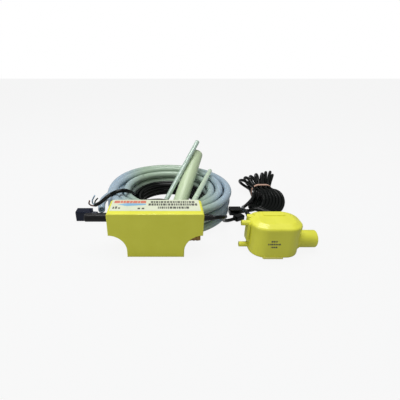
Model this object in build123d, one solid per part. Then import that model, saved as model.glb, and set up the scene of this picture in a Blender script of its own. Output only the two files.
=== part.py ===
from build123d import *
import math
import os

# A mini condensate pump kit: a T-shaped pump block, a float reservoir that it listens to, and the
# hoses and leads that come with them. The origin is the middle of the pump block's foot. X runs
# along the block, Y from its front to its back, Z up. All sizes are millimetres.

# ---------------------------------------------------------------- fits and small stock
seat_gap = 0.05  # between a bush, tube or screw and the hole that holds it
running_gap = 0.05  # radial, around a piece that slides
soft_gap = 0.3  # between a soft piece and what it lies on
floor_gap = 0.1  # under a soft piece that lies on the ground

# ---------------------------------------------------------------- pump block
pump_length = 100.0
pump_depth = 35.0
pump_height = 53.0
wing_height = 26.0
stem_width = 61.5
casing_wall = 2.0
cover_thickness = 2.2
crown_round = 2.0  # the block's upper side edges
front_round = 1.0  # around the front face
back_round = 4.0  # upright edges at the back of the wings
pillar_radius = 2.6
pillar_inset = 2.9  # screw pillar's axis from the casing's inner walls
cover_screw_radius = 1.1
cover_screw_length = 11.0
cover_head_radius = 2.1
cover_head_height = 1.3
label_length = 94.5
label_width = 26.0
label_thickness = 0.25
label_from_back = 2.0
label_from_right = 3.0

# ---------------------------------------------------------------- piston pump
pump_axis_z = 14.0
tube_bore = 8.2
tube_wall = 0.7
tube_length = 32.0
tube_left = -23.0
bobbin_length = 24.0
bobbin_flange_radius = 11.0
bobbin_flange = 1.2
bobbin_wall = 0.8
bobbin_from_tube_end = 4.0
winding_depth = 4.4
yoke_plate = 1.5
yoke_height = 18.0
armature_length = 16.0
plunger_diameter = 3.2
plunger_bore = 1.6
plunger_reach = 12.0  # out of the armature's right end
plunger_root = 4.0  # pressed into the armature
piston_travel = 3.0  # each way from rest
stroke_clearance = 1.0  # left ahead of the plunger at full stroke
spring_wire = 0.6
spring_diameter = 5.6
spring_turns = 4
cap_diameter = 12.4
cap_overlap = 2.2
inlet_back = 2.5  # solid end of the inlet fitting behind the tube
neck_diameter = 8.0
grommet_wall = 2.0
grommet_length = 5.4
barb_rise = 0.5
seat_bore = 2.2
seat_wall = 1.0
chamber_diameter = 6.4
chamber_length = 6.5
poppet_diameter = 5.2
poppet_height = 1.6
poppet_lift = 1.0
poppet_stem_diameter = 1.6
poppet_stem_length = 3.2
valve_spring_diameter = 3.6
valve_spring_wire = 0.4
valve_spring_turns = 3
seal_thickness = 1.0
outlet_flange = 2.0
outlet_nipple_diameter = 6.6
neck_past_wall = 2.4
grommet_from_wall = 0.35
outlet_tip = 49.3
inlet_nipple_diameter = 5.6
inlet_tip = -40.0
fitting_bore = 2.6
cutout_size = (9.0, 6.0, 3.2)

# ---------------------------------------------------------------- control board
board_length = 78.0
board_thickness = 1.6
board_y = 5.0
board_above_wing = 3.5
board_below_top = 3.5
board_post_radius = 2.6
board_post_x = 22.0
board_screw_length = 6.0
relay_size = (12.0, 10.0, 15.0)
relay_x = -12.0
capacitor_size = (13.0, 8.0, 11.0)
capacitor_x = 2.0
triac_size = (8.0, 4.5, 15.0)
triac_x = 14.5
terminal_size = (10.0, 9.0, 8.0)

# ---------------------------------------------------------------- lead entries in the wings
entry_above_wing = 12.5
entry_neck_radius = 3.6
entry_flange_radius = 5.2
entry_flange = 1.5
boot_radius = 4.4
boot_length = 12.0
socket_radius = 4.6
socket_length = 27.0
socket_mouth = (2.9, 8.0)  # radius and depth
pin_radius = 0.8
pin_pitch = 2.6

# ---------------------------------------------------------------- float reservoir
tank_x = 129.75
tank_length = 53.5
tank_width = 40.0
tank_corner = 16.0
tank_wall = 2.0
tank_seam = 31.5
tank_floor = 1.8
tank_base_round = 2.5
foot_length = 22.0
foot_thickness = 2.0
foot_lip = 0.9
foot_from_middle = -3.5
foot_corner = 1.2
foot_hole_radius = 1.6
foot_hole_inset = 9.0  # from the tank's front and back faces
foot_gap = 0.15
spigot_z = 12.6
spigot_diameter = 19.4
spigot_wall = 1.6
spigot_length = 20.5
spigot_round = 0.7
spigot_pad_diameter = 22.4
spigot_pad_height = 0.6
suction_z = 5.4
nipple_diameter = 5.9
nipple_bore = 2.8
nipple_length = 9.7
lid_height = 8.0
lid_side = 4.5  # upright part of the lid, under its sloping roof
lid_slope = 65.0  # the roof's lean from upright
lid_edge_round = 3.0
lid_crown_round = 6.0
lid_overhang = 0.5
lid_wall = 2.0
lid_lip = 3.0
lid_lip_wall = 1.5
lid_lip_gap = 0.35
lid_ridge_size = (24.0, 9.0, 0.7)
lid_ridge_corner = 2.4
lid_ridge_y = 8.0
vent_above_seam = 1.5
vent_reach = 7.5  # how far the vent's bore goes into the lid
seal_section = 1.2
clip_width = 9.0
clip_thickness = 1.6
clip_drop = 20.0
tower_radius = 4.0
tower_y = 9.0
tower_drop = 17.0
tower_rise = 5.6
tower_flat = 3.3
tank_gland_radius = 2.8
tank_lead_out = 8.3  # from the tower's axis to where the lead leaves its bush
tank_lead_rise = 2.0  # from the seam up to the lead
tank_gland_neck = 1.7
tank_gland_seat = 2.5
float_diameter = 24.0
float_height = 11.0
float_bore_gap = 0.4
float_travel = 10.0
magnet_height = 3.0
magnet_radial = 2.0
post_diameter = 5.0
post_collar_radius = 5.0
post_collar_height = 2.0
post_clip_height = 1.0
post_clip_radius = 4.2
screen_thickness = 1.4
screen_slots = 7
screen_slot_width = 1.6
screen_from_middle = 13.5
screen_rail = 1.6
screen_frame = 4.0  # solid edge beside the outermost slots
screen_border = 3.0  # solid edge above and below the slots
screen_below_lip = 2.0

# ---------------------------------------------------------------- hoses and leads
hose_diameter = 10.0
hose_bore = 6.0
hose_coil_centre = (15.0, 104.2)
hose_coil_inner = 53.0
hose_coil_outer = 86.0
hose_coil_height = 35.0
hose_coil_round = 14.0
cord_diameter = 5.0
cord_coil_inner = 39.0
cord_coil_height = 28.0
cord_coil_round = 5.0
sleeve_diameter = 20.0
sleeve_bore = 17.0
vent_tube_diameter = 6.5
vent_tube_bore = 4.5
lead_diameter = 4.5
wire_diameter = 1.9
plug_size = (27.0, 13.0, 14.0)
plug_nose = 7.0
sensor_plug_size = (20.0, 12.0, 9.0)
sensor_plug_nose = 4.5
sensor_socket_size = (15.0, 9.0, 7.0)
sensor_socket_nose = 3.0
hank_height = 22.0
tie_width = 3.6
tie_thickness = 1.0

# ---------------------------------------------------------------- sizes that follow
half_length = pump_length / 2
half_depth = pump_depth / 2
half_stem = stem_width / 2
wing_underside = pump_height - wing_height
web_radius = half_length - half_stem  # the hollow between stem and wing
web_centre_z = wing_underside - web_radius
cover_front = half_depth - cover_thickness
cavity_front = -half_depth + casing_wall
tube_right = tube_left + tube_length
tube_radius = tube_bore / 2 + tube_wall
bobbin_left = tube_left + bobbin_from_tube_end
bobbin_right = bobbin_left + bobbin_length
cap_radius = cap_diameter / 2
neck_radius = neck_diameter / 2
armature_left = tube_left + (tube_length - armature_length) / 2
armature_right = armature_left + armature_length
plunger_tip = armature_right + plunger_reach
cylinder_bore_end = plunger_tip + piston_travel + stroke_clearance
chamber_left = cylinder_bore_end + seat_wall
chamber_right = chamber_left + chamber_length
seal_right = chamber_right + seal_thickness
flange_right = seal_right + outlet_flange
grommet_radius = neck_radius + grommet_wall
tank_left = tank_x - tank_length / 2
tank_right = tank_x + tank_length / 2
tank_inside_z = foot_thickness + foot_gap + tank_floor
lid_top = tank_seam + lid_height
float_rest_z = tank_inside_z + post_collar_height
float_limit_z = float_rest_z + float_height + float_travel
vent_z = tank_seam + vent_above_seam
board_height = wing_height - board_above_wing - board_below_top
board_z = wing_underside + board_above_wing + board_height / 2
board_front = board_y - board_thickness / 2
board_back = board_y + board_thickness / 2
entry_z = wing_underside + entry_above_wing
boot_tip = half_length + boot_length
lid_shoulder = tank_seam + lid_side
screen_x = tank_x + screen_from_middle
screen_top = tank_seam - lid_lip - screen_below_lip
tie_at = (155.5, 128.0)
hank_near_end = (155.0, 88.0, 30.0, 13.0)  # x, y, width and height of a section
hank_near_belly = (155.0, 103.0, 36.0, 17.0)
hank_far_belly = (160.0, 160.0, 46.0, 18.0)
hank_far_end = (165.0, 194.0, 62.0, 13.0)
tie_size = (29.0, hank_height)

# ---------------------------------------------------------------- the ways the cords run
# Each route lists the cord's turning points by hand, from its first piece to its last.
hose_tail_route = [
    (-27.9, 172.9, 7.0),
    (-46.0, 162.0, 6.0),
    (-64.0, 148.0, 5.2),
    (-78.0, 129.0, 5.2),
    (-83.5, 106.0, 5.2),
    (-78.0, 83.0, 5.2),
]
cord_run_route = [
    (-80.0, 66.0, 7.0),
    (-73.0, 66.0, 7.0),
    (-62.5, 60.5, 9.5),
    (-55.0, 49.0, 18.5),
    (-47.5, 39.5, 29.5),
    (-36.5, 34.5, 39.5),
    (-22.5, 34.0, 43.7),
    (-9.0, 37.5, 43.7),
    (3.0, 43.5, 42.4),
    (13.0, 50.5, 38.5),
    (21.5, 57.0, 32.0),
    (30.0, 63.0, 25.0),
]
cord_tail_route = [
    (-29.5, 97.0, 23.5),
    (-31.5, 87.0, 32.5),
    (-36.5, 75.5, 42.0),
    (-45.0, 65.0, 46.0),
    (-55.5, 57.5, 42.5),
    (-64.5, 57.0, 34.0),
    (-70.0, 64.5, 25.0),
    (-76.5, 74.5, 17.6),
    (-86.0, 80.0, 13.6),
]
wire_routes = [
    [(-87.1, 79.1, 13.3), (-90.8, 80.0, 13.2), (-93.6, 78.4, 16.8), (-91.3, 76.2, 22.5)],
    [(-86.6, 80.2, 14.9), (-89.4, 81.8, 15.6), (-89.2, 81.9, 20.5), (-84.6, 79.9, 28.5)],
    [(-85.7, 81.4, 13.3), (-87.8, 84.9, 12.9), (-86.8, 87.6, 16.6), (-82.4, 85.2, 21.8)],
]
sleeve_route = [(28.5, 78.5, 12.5), (43.25, 121.75, 36.25), (58.0, 165.0, 60.0)]
vent_tube_route = [(-2.0, 72.5, 4.2), (26.0, 122.25, 41.1), (54.0, 172.0, 78.0)]
spare_tube_route = [(42.5, 34.0, 38.9), (62.5, 90.0, 38.9), (80.5, 142.0, 38.9)]
sensor_lead_route = [
    (boot_tip, 0.0, entry_z),
    (boot_tip + 9.5, 0.0, entry_z),
    (78.0, 9.5, 35.5),
    (80.0, 24.0, 27.0),
    (81.5, 38.0, 16.0),
    (85.0, 49.5, 7.0),
    (91.5, 55.2, 3.5),
    (100.0, 60.0, 3.5),
]
probe_lead_route = [
    (tank_left + tank_wall, tower_y + tank_lead_out, tank_seam + tank_lead_rise),
    (tank_left + tank_wall, tower_y + tank_lead_out + 9.5, tank_seam + tank_lead_rise),
    (103.6, 38.5, 29.5),
    (108.5, 54.5, 23.5),
    (117.0, 73.0, 16.0),
    (125.0, 89.0, 11.5),
    (134.0, 103.0, 9.0),
    (145.0, 112.0, 8.5),
]
probe_tail_route = [
    (118.5, 81.0, 4.5),
    (128.0, 81.0, 4.5),
    (138.5, 85.5, 5.5),
    (148.0, 93.0, 7.0),
]


def box_at(size, centre):
    """A box of the given size about its centre."""
    return Pos(*centre) * Box(*size)


def disc_x(radius, left, right, z, y=0.0):
    """A cylinder along X between two stations."""
    disc = Plane(origin=(left, y, z), x_dir=(0, 1, 0), z_dir=(1, 0, 0)) * Circle(radius)
    return extrude(disc, amount=right - left)


def ring_x(outer, inner, left, right, z):
    """A tube along X between two stations."""
    return disc_x(outer, left, right, z) - disc_x(inner, left - 1, right + 1, z)


def post_y(radius, x, z, front, back):
    """A cylinder along Y between two depths."""
    disc = Plane(origin=(x, front, z), x_dir=(1, 0, 0), z_dir=(0, 1, 0)) * Circle(radius)
    return extrude(disc, amount=back - front)


def post_z(radius, x, y, bottom, top):
    """An upright cylinder between two heights."""
    return Pos(x, y, bottom) * Cylinder(radius, top - bottom, align=(Align.CENTER, Align.CENTER, Align.MIN))


def rounded_plan(length, width, corner, bottom, top, x, y=0.0):
    """An upright block with a rounded-rectangle plan."""
    plan = Plane.XY.offset(bottom) * Pos(x, y) * RectangleRounded(length, width, corner)
    return extrude(plan, amount=top - bottom)


def spun_x(profile, z):
    """A solid spun about the line along X at height z, from (station, radius) points."""
    outline = make_face(Polyline(*profile, close=True))
    turned = revolve(Plane.XZ * outline, axis=Axis.X)
    return Pos(0, 0, z) * turned


def coil_spring(left, length, diameter, wire, turns, z):
    """A compression spring along X with its wire inside the given length."""
    pitch = (length - wire) / turns
    radius = (diameter - wire) / 2
    path = Helix(pitch=pitch, height=length - wire, radius=radius)
    section = Plane(origin=path @ 0, z_dir=path % 0) * RegularPolygon(wire / 2, 6)
    spring = sweep(section, path=path)
    return Pos(left + wire / 2, 0, z) * Rot(0, 90, 0) * spring


def save(name, shape):
    """Writes one piece to its own file in the parts folder."""
    export_step(shape, os.path.join("parts", name + ".step"))


# ---------------------------------------------------------------- pump casing
def tee_outline(inset):
    """The block's T outline in the XZ plane, moved inwards all round by inset."""
    stem = half_stem - inset
    bar = half_length - inset
    web = web_radius + inset
    web_head = web_centre_z + math.sqrt(web**2 - inset**2)
    diagonal = web * math.sqrt(0.5)
    right = Curve() + [
        Line((0, inset), (stem, inset)),
        Line((stem, inset), (stem, web_centre_z)),
        ThreePointArc((stem, web_centre_z), (half_length - diagonal, web_centre_z + diagonal), (bar, web_head)),
        Line((bar, web_head), (bar, pump_height - inset)),
        Line((bar, pump_height - inset), (0, pump_height - inset)),
    ]
    return Plane.XZ * make_face(right + mirror(right, Plane.YZ))


def tee_block(inset, front, back):
    """The T outline carried from one depth to another."""
    return Pos(0, front, 0) * extrude(tee_outline(inset), amount=back - front, dir=(0, 1, 0))


def pillar_places():
    """The four screw pillars, as (x, z)."""
    wing_x = half_length - casing_wall - pillar_inset
    stem_x = half_stem - casing_wall - pillar_inset
    top_z = pump_height - casing_wall - pillar_inset
    low_z = casing_wall + pillar_inset
    return [(-wing_x, top_z), (wing_x, top_z), (-stem_x, low_z), (stem_x, low_z)]


def block_form():
    """The whole block's outside, before it is parted into casing and cover."""
    block = tee_block(0, -half_depth, half_depth)
    crown = block.edges().filter_by(Axis.Y).sort_by(Axis.Z)[-2:]
    block = fillet(crown, crown_round)
    upright = block.edges().filter_by(Axis.Z).filter_by(lambda e: abs(abs(e.center().X) - half_length) < 0.1)
    back_edges = upright.sort_by(Axis.Y)[-2:]
    block = fillet(back_edges, back_round)
    front_face = block.faces().sort_by(Axis.Y)[0]
    return fillet(front_face.edges(), front_round)


def wall_hole(radius, side, wall_x, z):
    """The cutter for a round hole through a side wall, with room around the piece that sits in it."""
    inner, outer = wall_x - casing_wall - 1, wall_x + web_radius / 2
    left, right = sorted((side * inner, side * outer))
    return disc_x(radius + seat_gap, left, right, z)


def make_casing(form):
    """The front shell, open at the back, with screw pillars, board posts and lead holes."""
    keep = box_at((pump_length * 2, pump_depth, pump_height * 3), (0, cover_front - pump_depth / 2, 0))
    casing = form & keep
    casing -= tee_block(casing_wall, cavity_front, cover_front + 1)
    for x, z in pillar_places():
        casing += post_y(pillar_radius, x, z, cavity_front - casing_wall / 2, cover_front)
    for x in (-board_post_x, board_post_x):
        casing += post_y(board_post_radius, x, board_z, cavity_front - casing_wall / 2, board_front)
        hole_front = board_front - board_screw_length + board_thickness
        casing -= post_y(cover_screw_radius + seat_gap, x, board_z, hole_front, board_front + 1)
    for x, z in pillar_places():
        hole_front = cover_front - cover_screw_length
        casing -= post_y(cover_screw_radius + seat_gap, x, z, hole_front, cover_front + 1)
    for side in (-1, 1):
        casing -= wall_hole(entry_neck_radius, side, half_length, entry_z)
        casing -= wall_hole(grommet_radius, side, half_stem, pump_axis_z)
    return casing


def make_cover(form):
    """The rear plate, with sunk seats for its four screws."""
    keep = box_at((pump_length * 2, pump_depth, pump_height * 3), (0, cover_front + pump_depth / 2, 0))
    cover = form & keep
    for x, z in pillar_places():
        cover -= post_y(cover_screw_radius + seat_gap, x, z, cover_front - 1, half_depth + 1)
        cover -= post_y(cover_head_radius + seat_gap, x, z, half_depth - cover_head_height, half_depth + 1)
    return cover


def make_cover_screws():
    """Four self-tapping screws with flat heads and driver slots."""
    screws = []
    for x, z in pillar_places():
        tip = cover_front - cover_screw_length + seat_gap
        shank = post_y(cover_screw_radius, x, z, tip, half_depth - cover_head_height)
        head = post_y(cover_head_radius, x, z, half_depth - cover_head_height, half_depth - 0.2)
        slot = box_at((3.0, 1.0, 0.7), (x, half_depth - 0.3, z))
        screws.append(shank + head - slot)
    return Compound(screws)


# ---------------------------------------------------------------- piston pump
def make_bobbin():
    """The spool that the copper is wound on."""
    inner = tube_radius + seat_gap
    outer = inner + bobbin_wall
    rim = bobbin_flange_radius
    profile = [
        (bobbin_left, inner),
        (bobbin_left, rim),
        (bobbin_left + bobbin_flange, rim),
        (bobbin_left + bobbin_flange, outer),
        (bobbin_right - bobbin_flange, outer),
        (bobbin_right - bobbin_flange, rim),
        (bobbin_right, rim),
        (bobbin_right, inner),
    ]
    return spun_x(profile, pump_axis_z)


def make_winding():
    """The copper between the spool's flanges."""
    inner = tube_radius + seat_gap + bobbin_wall
    left = bobbin_left + bobbin_flange
    right = bobbin_right - bobbin_flange
    return ring_x(inner + winding_depth, inner, left, right, pump_axis_z)


def make_yoke():
    """The steel frame that carries the flux around the winding."""
    length = bobbin_length + 2 * yoke_plate
    inner_width = 2 * (bobbin_flange_radius + soft_gap)
    middle = (bobbin_left + bobbin_right) / 2
    frame = box_at((length, inner_width + 2 * yoke_plate, yoke_height), (middle, 0, pump_axis_z))
    frame = fillet(frame.edges().filter_by(Axis.Z), yoke_plate)
    frame -= box_at((bobbin_length, inner_width, yoke_height + 2), (middle, 0, pump_axis_z))
    return frame - disc_x(tube_radius + seat_gap, bobbin_left - 5, bobbin_right + 5, pump_axis_z)


def make_cylinder():
    """The pressure body: tube socket, plunger bore, valve seat and valve chamber in one turned part."""
    left = tube_right - cap_overlap
    bore = plunger_diameter / 2 + running_gap
    profile = [
        (left, tube_radius + seat_gap),
        (left, cap_radius),
        (chamber_right, cap_radius),
        (chamber_right, chamber_diameter / 2),
        (chamber_left, chamber_diameter / 2),
        (chamber_left, seat_bore / 2),
        (cylinder_bore_end, seat_bore / 2),
        (cylinder_bore_end, bore),
        (tube_right, bore),
        (tube_right, tube_radius + seat_gap),
    ]
    return spun_x(profile, pump_axis_z)


def barb(tip, root, radius, rings):
    """The (station, radius) points of a hose barb from its root to its tip."""
    step = (tip - root) / (rings + 1)
    points = [(root, radius)]
    for ring in range(1, rings + 1):
        start = root + step * ring
        points += [(start, radius), (start, radius + barb_rise), (start + step * 0.7, radius)]
    return points + [(tip, radius)]


def make_inlet_fitting():
    """The suction end: a cap over the tube, a neck through the wall and a hose barb."""
    cap_right = tube_left + cap_overlap
    cap_left = tube_left - inlet_back
    neck_end = -(half_stem + neck_past_wall)
    profile = [
        (tube_left, fitting_bore / 2),
        (tube_left, tube_radius + seat_gap),
        (cap_right, tube_radius + seat_gap),
        (cap_right, cap_radius),
        (cap_left, cap_radius),
        (cap_left, neck_radius),
        (neck_end, neck_radius),
    ]
    profile += barb(inlet_tip, neck_end, inlet_nipple_diameter / 2, 2)
    profile += [(inlet_tip, fitting_bore / 2)]
    return spun_x(profile, pump_axis_z)


def make_outlet_fitting():
    """The pressure end: a flange on the cylinder, a neck through the wall and a brass barb."""
    neck_end = half_stem + neck_past_wall
    profile = [
        (seal_right, fitting_bore / 2),
        (seal_right, cap_radius),
        (flange_right, cap_radius),
        (flange_right, neck_radius),
        (neck_end, neck_radius),
    ]
    profile += barb(outlet_tip, neck_end, outlet_nipple_diameter / 2, 3)
    profile += [(outlet_tip, fitting_bore / 2)]
    return spun_x(profile, pump_axis_z)


def make_grommet(side):
    """The rubber bush that carries one end of the pump in the casing's side wall."""
    middle = side * (half_stem + grommet_from_wall)
    left = middle - grommet_length / 2
    return ring_x(grommet_radius, neck_radius + seat_gap, left, left + grommet_length, pump_axis_z)


def make_armature():
    """The iron slug, bored for the plunger and for the water."""
    slug = disc_x(tube_bore / 2 - running_gap, armature_left, armature_right, pump_axis_z)
    slug = fillet(slug.edges().filter_by(GeomType.CIRCLE), 0.6)
    slug -= disc_x(plunger_bore / 2, armature_left - 1, armature_right + 1, pump_axis_z)
    slug -= disc_x(plunger_diameter / 2, armature_right - plunger_root, armature_right + 1, pump_axis_z)
    return slug


def make_plunger():
    """The hollow steel plunger, pressed into the armature."""
    left = armature_right - plunger_root
    return ring_x(plunger_diameter / 2, plunger_bore / 2, left, plunger_tip, pump_axis_z)


def make_outlet_valve():
    """The rubber poppet on its seat, with the stem that guides its spring."""
    top = chamber_left + poppet_height
    head = disc_x(poppet_diameter / 2, chamber_left, top, pump_axis_z)
    return head + disc_x(poppet_stem_diameter / 2, top, top + poppet_stem_length, pump_axis_z)


# ---------------------------------------------------------------- control board
def make_board():
    """The printed board, upright behind the block's front, with its two screw holes."""
    board = box_at((board_length, board_thickness, board_height), (0, board_y, board_z))
    for x in (-board_post_x, board_post_x):
        board -= post_y(cover_screw_radius + seat_gap, x, board_z, board_front - 1, board_y + 3)
    return board


def make_board_screws():
    """Two pan-head screws through the board into its posts."""
    screws = []
    for x in (-board_post_x, board_post_x):
        shank = post_y(cover_screw_radius, x, board_z, board_back - board_screw_length + 0.5, board_back)
        head = post_y(cover_head_radius, x, board_z, board_back, board_back + cover_head_height)
        screws.append(shank + head)
    return Compound(screws)


def on_board(size, x, z):
    """A component standing on the board's front face."""
    return box_at(size, (x, board_front - size[1] / 2, z))


def make_terminals():
    """Two screw terminals, one at each end of the board, open towards the lead that they take."""
    blocks = []
    for side in (-1, 1):
        x = side * (board_length - terminal_size[0]) / 2
        block = on_board(terminal_size, x, board_z)
        for row in (-1, 1):
            block -= disc_x(1.1, x - side * 2, x + side * 8, board_z + row * 2, board_front - 3)
            block -= post_y(1.2, x, board_z + row * 2, board_front - 10, board_front - 6)
        blocks.append(block)
    return Compound(blocks)


# ---------------------------------------------------------------- lead entries
def entry_profile(outside):
    """A lead bush's outline: each point is its place along the bush, then its radius."""
    inner_face = -casing_wall
    return [
        (inner_face - entry_flange, 0),
        (inner_face - entry_flange, entry_flange_radius),
        (inner_face, entry_flange_radius),
        (inner_face, entry_neck_radius),
        (0, entry_neck_radius),
    ] + outside


def make_sensor_gland():
    """The right bush, with a ribbed boot that tapers to the lead."""
    tip_radius = lead_diameter / 2 + 0.9
    outside = [(0, boot_radius)]
    ribs = 4
    step = boot_length / ribs
    for rib in range(ribs):
        here = boot_radius + (tip_radius - boot_radius) * (rib + 0.6) / ribs
        after = boot_radius + (tip_radius - boot_radius) * (rib + 1) / ribs
        outside += [(step * (rib + 0.6), here), (step * (rib + 0.6), here - 0.5)]
        outside += [(step * (rib + 1), after - 0.5)]
        if rib < ribs - 1:
            outside += [(step * (rib + 1), after)]
    outside += [(boot_length, 0)]
    profile = [(half_length + distance, radius) for distance, radius in entry_profile(outside)]
    return spun_x(profile, entry_z)


def make_power_socket():
    """The left bush and the moulded socket that the mains plug pushes into."""
    radius, depth = socket_mouth
    outside = [
        (0, socket_radius),
        (socket_length - 1.2, socket_radius),
        (socket_length, socket_radius - 1.2),
        (socket_length, radius),
        (socket_length - depth, radius),
        (socket_length - depth, 0),
    ]
    profile = [(-half_length - distance, reach) for distance, reach in entry_profile(outside)]
    return spun_x(profile, entry_z)


def make_socket_pins():
    """Two brass pins standing in the socket's mouth."""
    bottom = -half_length - socket_length + socket_mouth[1]
    pins = []
    for side in (-1, 1):
        pin = disc_x(pin_radius, bottom - socket_mouth[1] + 1.5, bottom, entry_z, side * pin_pitch / 2)
        pins.append(pin)
    return Compound(pins)


# ---------------------------------------------------------------- float reservoir
def tank_block(inset, bottom, top, corner=tank_corner):
    """The reservoir's plan, moved inwards by inset, between two heights."""
    return rounded_plan(tank_length - 2 * inset, tank_width - 2 * inset, corner - inset, bottom, top, tank_x)


def inside_half_width(x):
    """Half the tank's inside width at a station along X, less where its corners are round."""
    corner = tank_corner - tank_wall
    past = max(0.0, abs(x - tank_x) - (tank_length / 2 - tank_corner))
    return tank_width / 2 - tank_corner + math.sqrt(corner**2 - past**2)


def dome_block(inset, bottom):
    """The lid's domed form moved inwards by inset: an upright side, then a sloping roof."""
    shoulder = lid_shoulder - inset / 2
    length = tank_length + 2 * (lid_overhang - inset)
    width = tank_width + 2 * (lid_overhang - inset)
    outline = RectangleRounded(length, width, tank_corner + lid_overhang - inset)
    plan = Plane.XY.offset(shoulder) * Pos(tank_x, 0) * outline
    side = extrude(plan, amount=bottom - shoulder)
    run = (lid_top - inset - shoulder) * math.tan(math.radians(lid_slope))
    corner = tank_corner + lid_overhang - inset - run
    outline = RectangleRounded(length - 2 * run, width - 2 * run, corner)
    crown = Plane.XY.offset(lid_top - inset) * Pos(tank_x, 0) * outline
    roof = loft([plan, crown], ruled=True)
    return side + roof


def make_tank():
    """The lower half: walls, inlet spigot, suction nipple, lead tower, screen rails and foot channel."""
    tank = tank_block(0, 0, tank_seam)
    tank = fillet(tank.faces().sort_by(Axis.Z)[0].edges(), tank_base_round)
    tank += post_z(tower_radius, tank_left + tank_wall, tower_y, tank_seam - tower_drop, tank_seam + tower_rise)
    spigot = disc_x(spigot_diameter / 2, tank_right - tank_wall, tank_right + spigot_length, spigot_z)
    tank += fillet(spigot.faces().sort_by(Axis.X)[-1].edges(), spigot_round)
    pad_face = tank_right + spigot_pad_height
    tank += disc_x(spigot_pad_diameter / 2, tank_right - tank_wall, pad_face, spigot_z)
    tank += disc_x(nipple_diameter / 2, tank_left - nipple_length, tank_left + tank_wall, suction_z)
    tank -= tank_block(tank_wall, tank_inside_z, tank_seam + 1)
    hollow_top = tank_seam + tower_rise + 1
    lid_room = tank_block(-lid_overhang - soft_gap, tank_seam, hollow_top)
    tower_keep = post_z(tower_radius, tank_left + tank_wall, tower_y, tank_seam - 1, hollow_top)
    tank -= lid_room - tower_keep
    gland = tank_gland_plane()
    tank -= extrude(gland * Rectangle(tower_radius * 3, tower_radius * 3), amount=tower_radius)
    tank -= extrude(gland.offset(-tank_gland_seat) * Circle(tank_gland_neck + seat_gap), amount=tower_radius)
    spigot_bore = spigot_diameter / 2 - spigot_wall
    tank -= disc_x(spigot_bore, tank_right - tank_wall - 1, tank_right + spigot_length + 1, spigot_z)
    tank -= disc_x(nipple_bore / 2, tank_left - nipple_length - 1, tank_left + tank_wall + 1, suction_z)
    channel = (foot_length + 2 * foot_gap, tank_width + 2, foot_thickness + foot_gap)
    tank -= box_at(channel, (tank_x + foot_from_middle, 0, channel[2] / 2))
    rail_height = screen_top - tank_inside_z
    for side in (-1, 1):
        for step in (-1, 1):
            x = screen_x + step * (screen_thickness / 2 + soft_gap + screen_rail / 2)
            size = (screen_rail, screen_rail * 1.5, rail_height)
            y = side * (inside_half_width(x) - screen_rail / 4)
            tank += box_at(size, (x, y, tank_inside_z + rail_height / 2))
    return tank


def make_foot():
    """The mounting plate in the reservoir's base channel, with a lip at front and back."""
    width = tank_width + 2 * foot_lip
    x = tank_x + foot_from_middle
    plate = rounded_plan(foot_length, width, foot_corner, 0, foot_thickness, x)
    for side in (-1, 1):
        y = side * (tank_width / 2 - foot_hole_inset)
        plate -= post_z(foot_hole_radius, x, y, -1, foot_thickness + 1)
    return plate


def make_lid():
    """The domed lid: shell, locating lip, ridge on top and the vent nipple at its left."""
    lid = dome_block(0, tank_seam)
    crown = lid.edges().filter_by(lambda edge: abs(edge.center().Z - lid_top) < 0.01)
    lid = fillet(crown, lid_crown_round)
    shoulder = lid.edges().filter_by(lambda edge: abs(edge.center().Z - lid_shoulder) < 0.01)
    lid = fillet(shoulder, lid_edge_round)
    stub = disc_x(nipple_diameter / 2, tank_left - nipple_length, tank_left + vent_reach, vent_z)
    rim_size = (tank_wall * 8, nipple_diameter * 2, nipple_diameter)
    rim_room = box_at(rim_size, (tank_left - lid_overhang + rim_size[0] / 2, 0, tank_seam - rim_size[2] / 2))
    lid += stub - rim_room
    length, width, height = lid_ridge_size
    lid += rounded_plan(length, width, lid_ridge_corner, lid_top - 1, lid_top + height, tank_x, lid_ridge_y)
    lid -= dome_block(lid_wall + lid_overhang, tank_seam - 1)
    lip_out = tank_wall + lid_lip_gap
    lip = tank_block(lip_out, tank_seam - lid_lip, lid_shoulder)
    lip -= tank_block(lip_out + lid_lip_wall, tank_seam - lid_lip - 1, lid_top)
    lid += lip
    lid -= disc_x(nipple_bore / 2, tank_left - nipple_length - 1, tank_left + vent_reach, vent_z)
    notch = post_z(tower_radius + soft_gap, tank_left + tank_wall, tower_y, tank_seam - lid_lip - 1, lid_top + 1)
    gland = tank_gland_plane()
    room = tank_wall * 5
    gland_room = extrude(gland * Circle(tank_gland_radius + soft_gap), amount=room)
    below = extrude(gland * Rectangle(2 * (tank_gland_radius + soft_gap), tank_wall * 8), amount=room)
    below &= tank_block(-tank_wall, tank_seam - lid_lip, gland.origin.Z, tank_corner)
    return lid - notch - gland_room - below


def make_lid_seal():
    """The flat rubber ring between the lid's lip and the wall's rim."""
    outer = tank_block(tank_wall + lid_lip_gap + 0.3, tank_seam - lid_lip - seal_section, tank_seam - lid_lip)
    outer -= tank_block(tank_wall + lid_lip_gap + lid_lip_wall, tank_seam - lid_lip - 9, tank_seam)
    notch = post_z(tower_radius + soft_gap, tank_left + tank_wall, tower_y, 0, lid_top)
    return outer - notch


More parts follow.
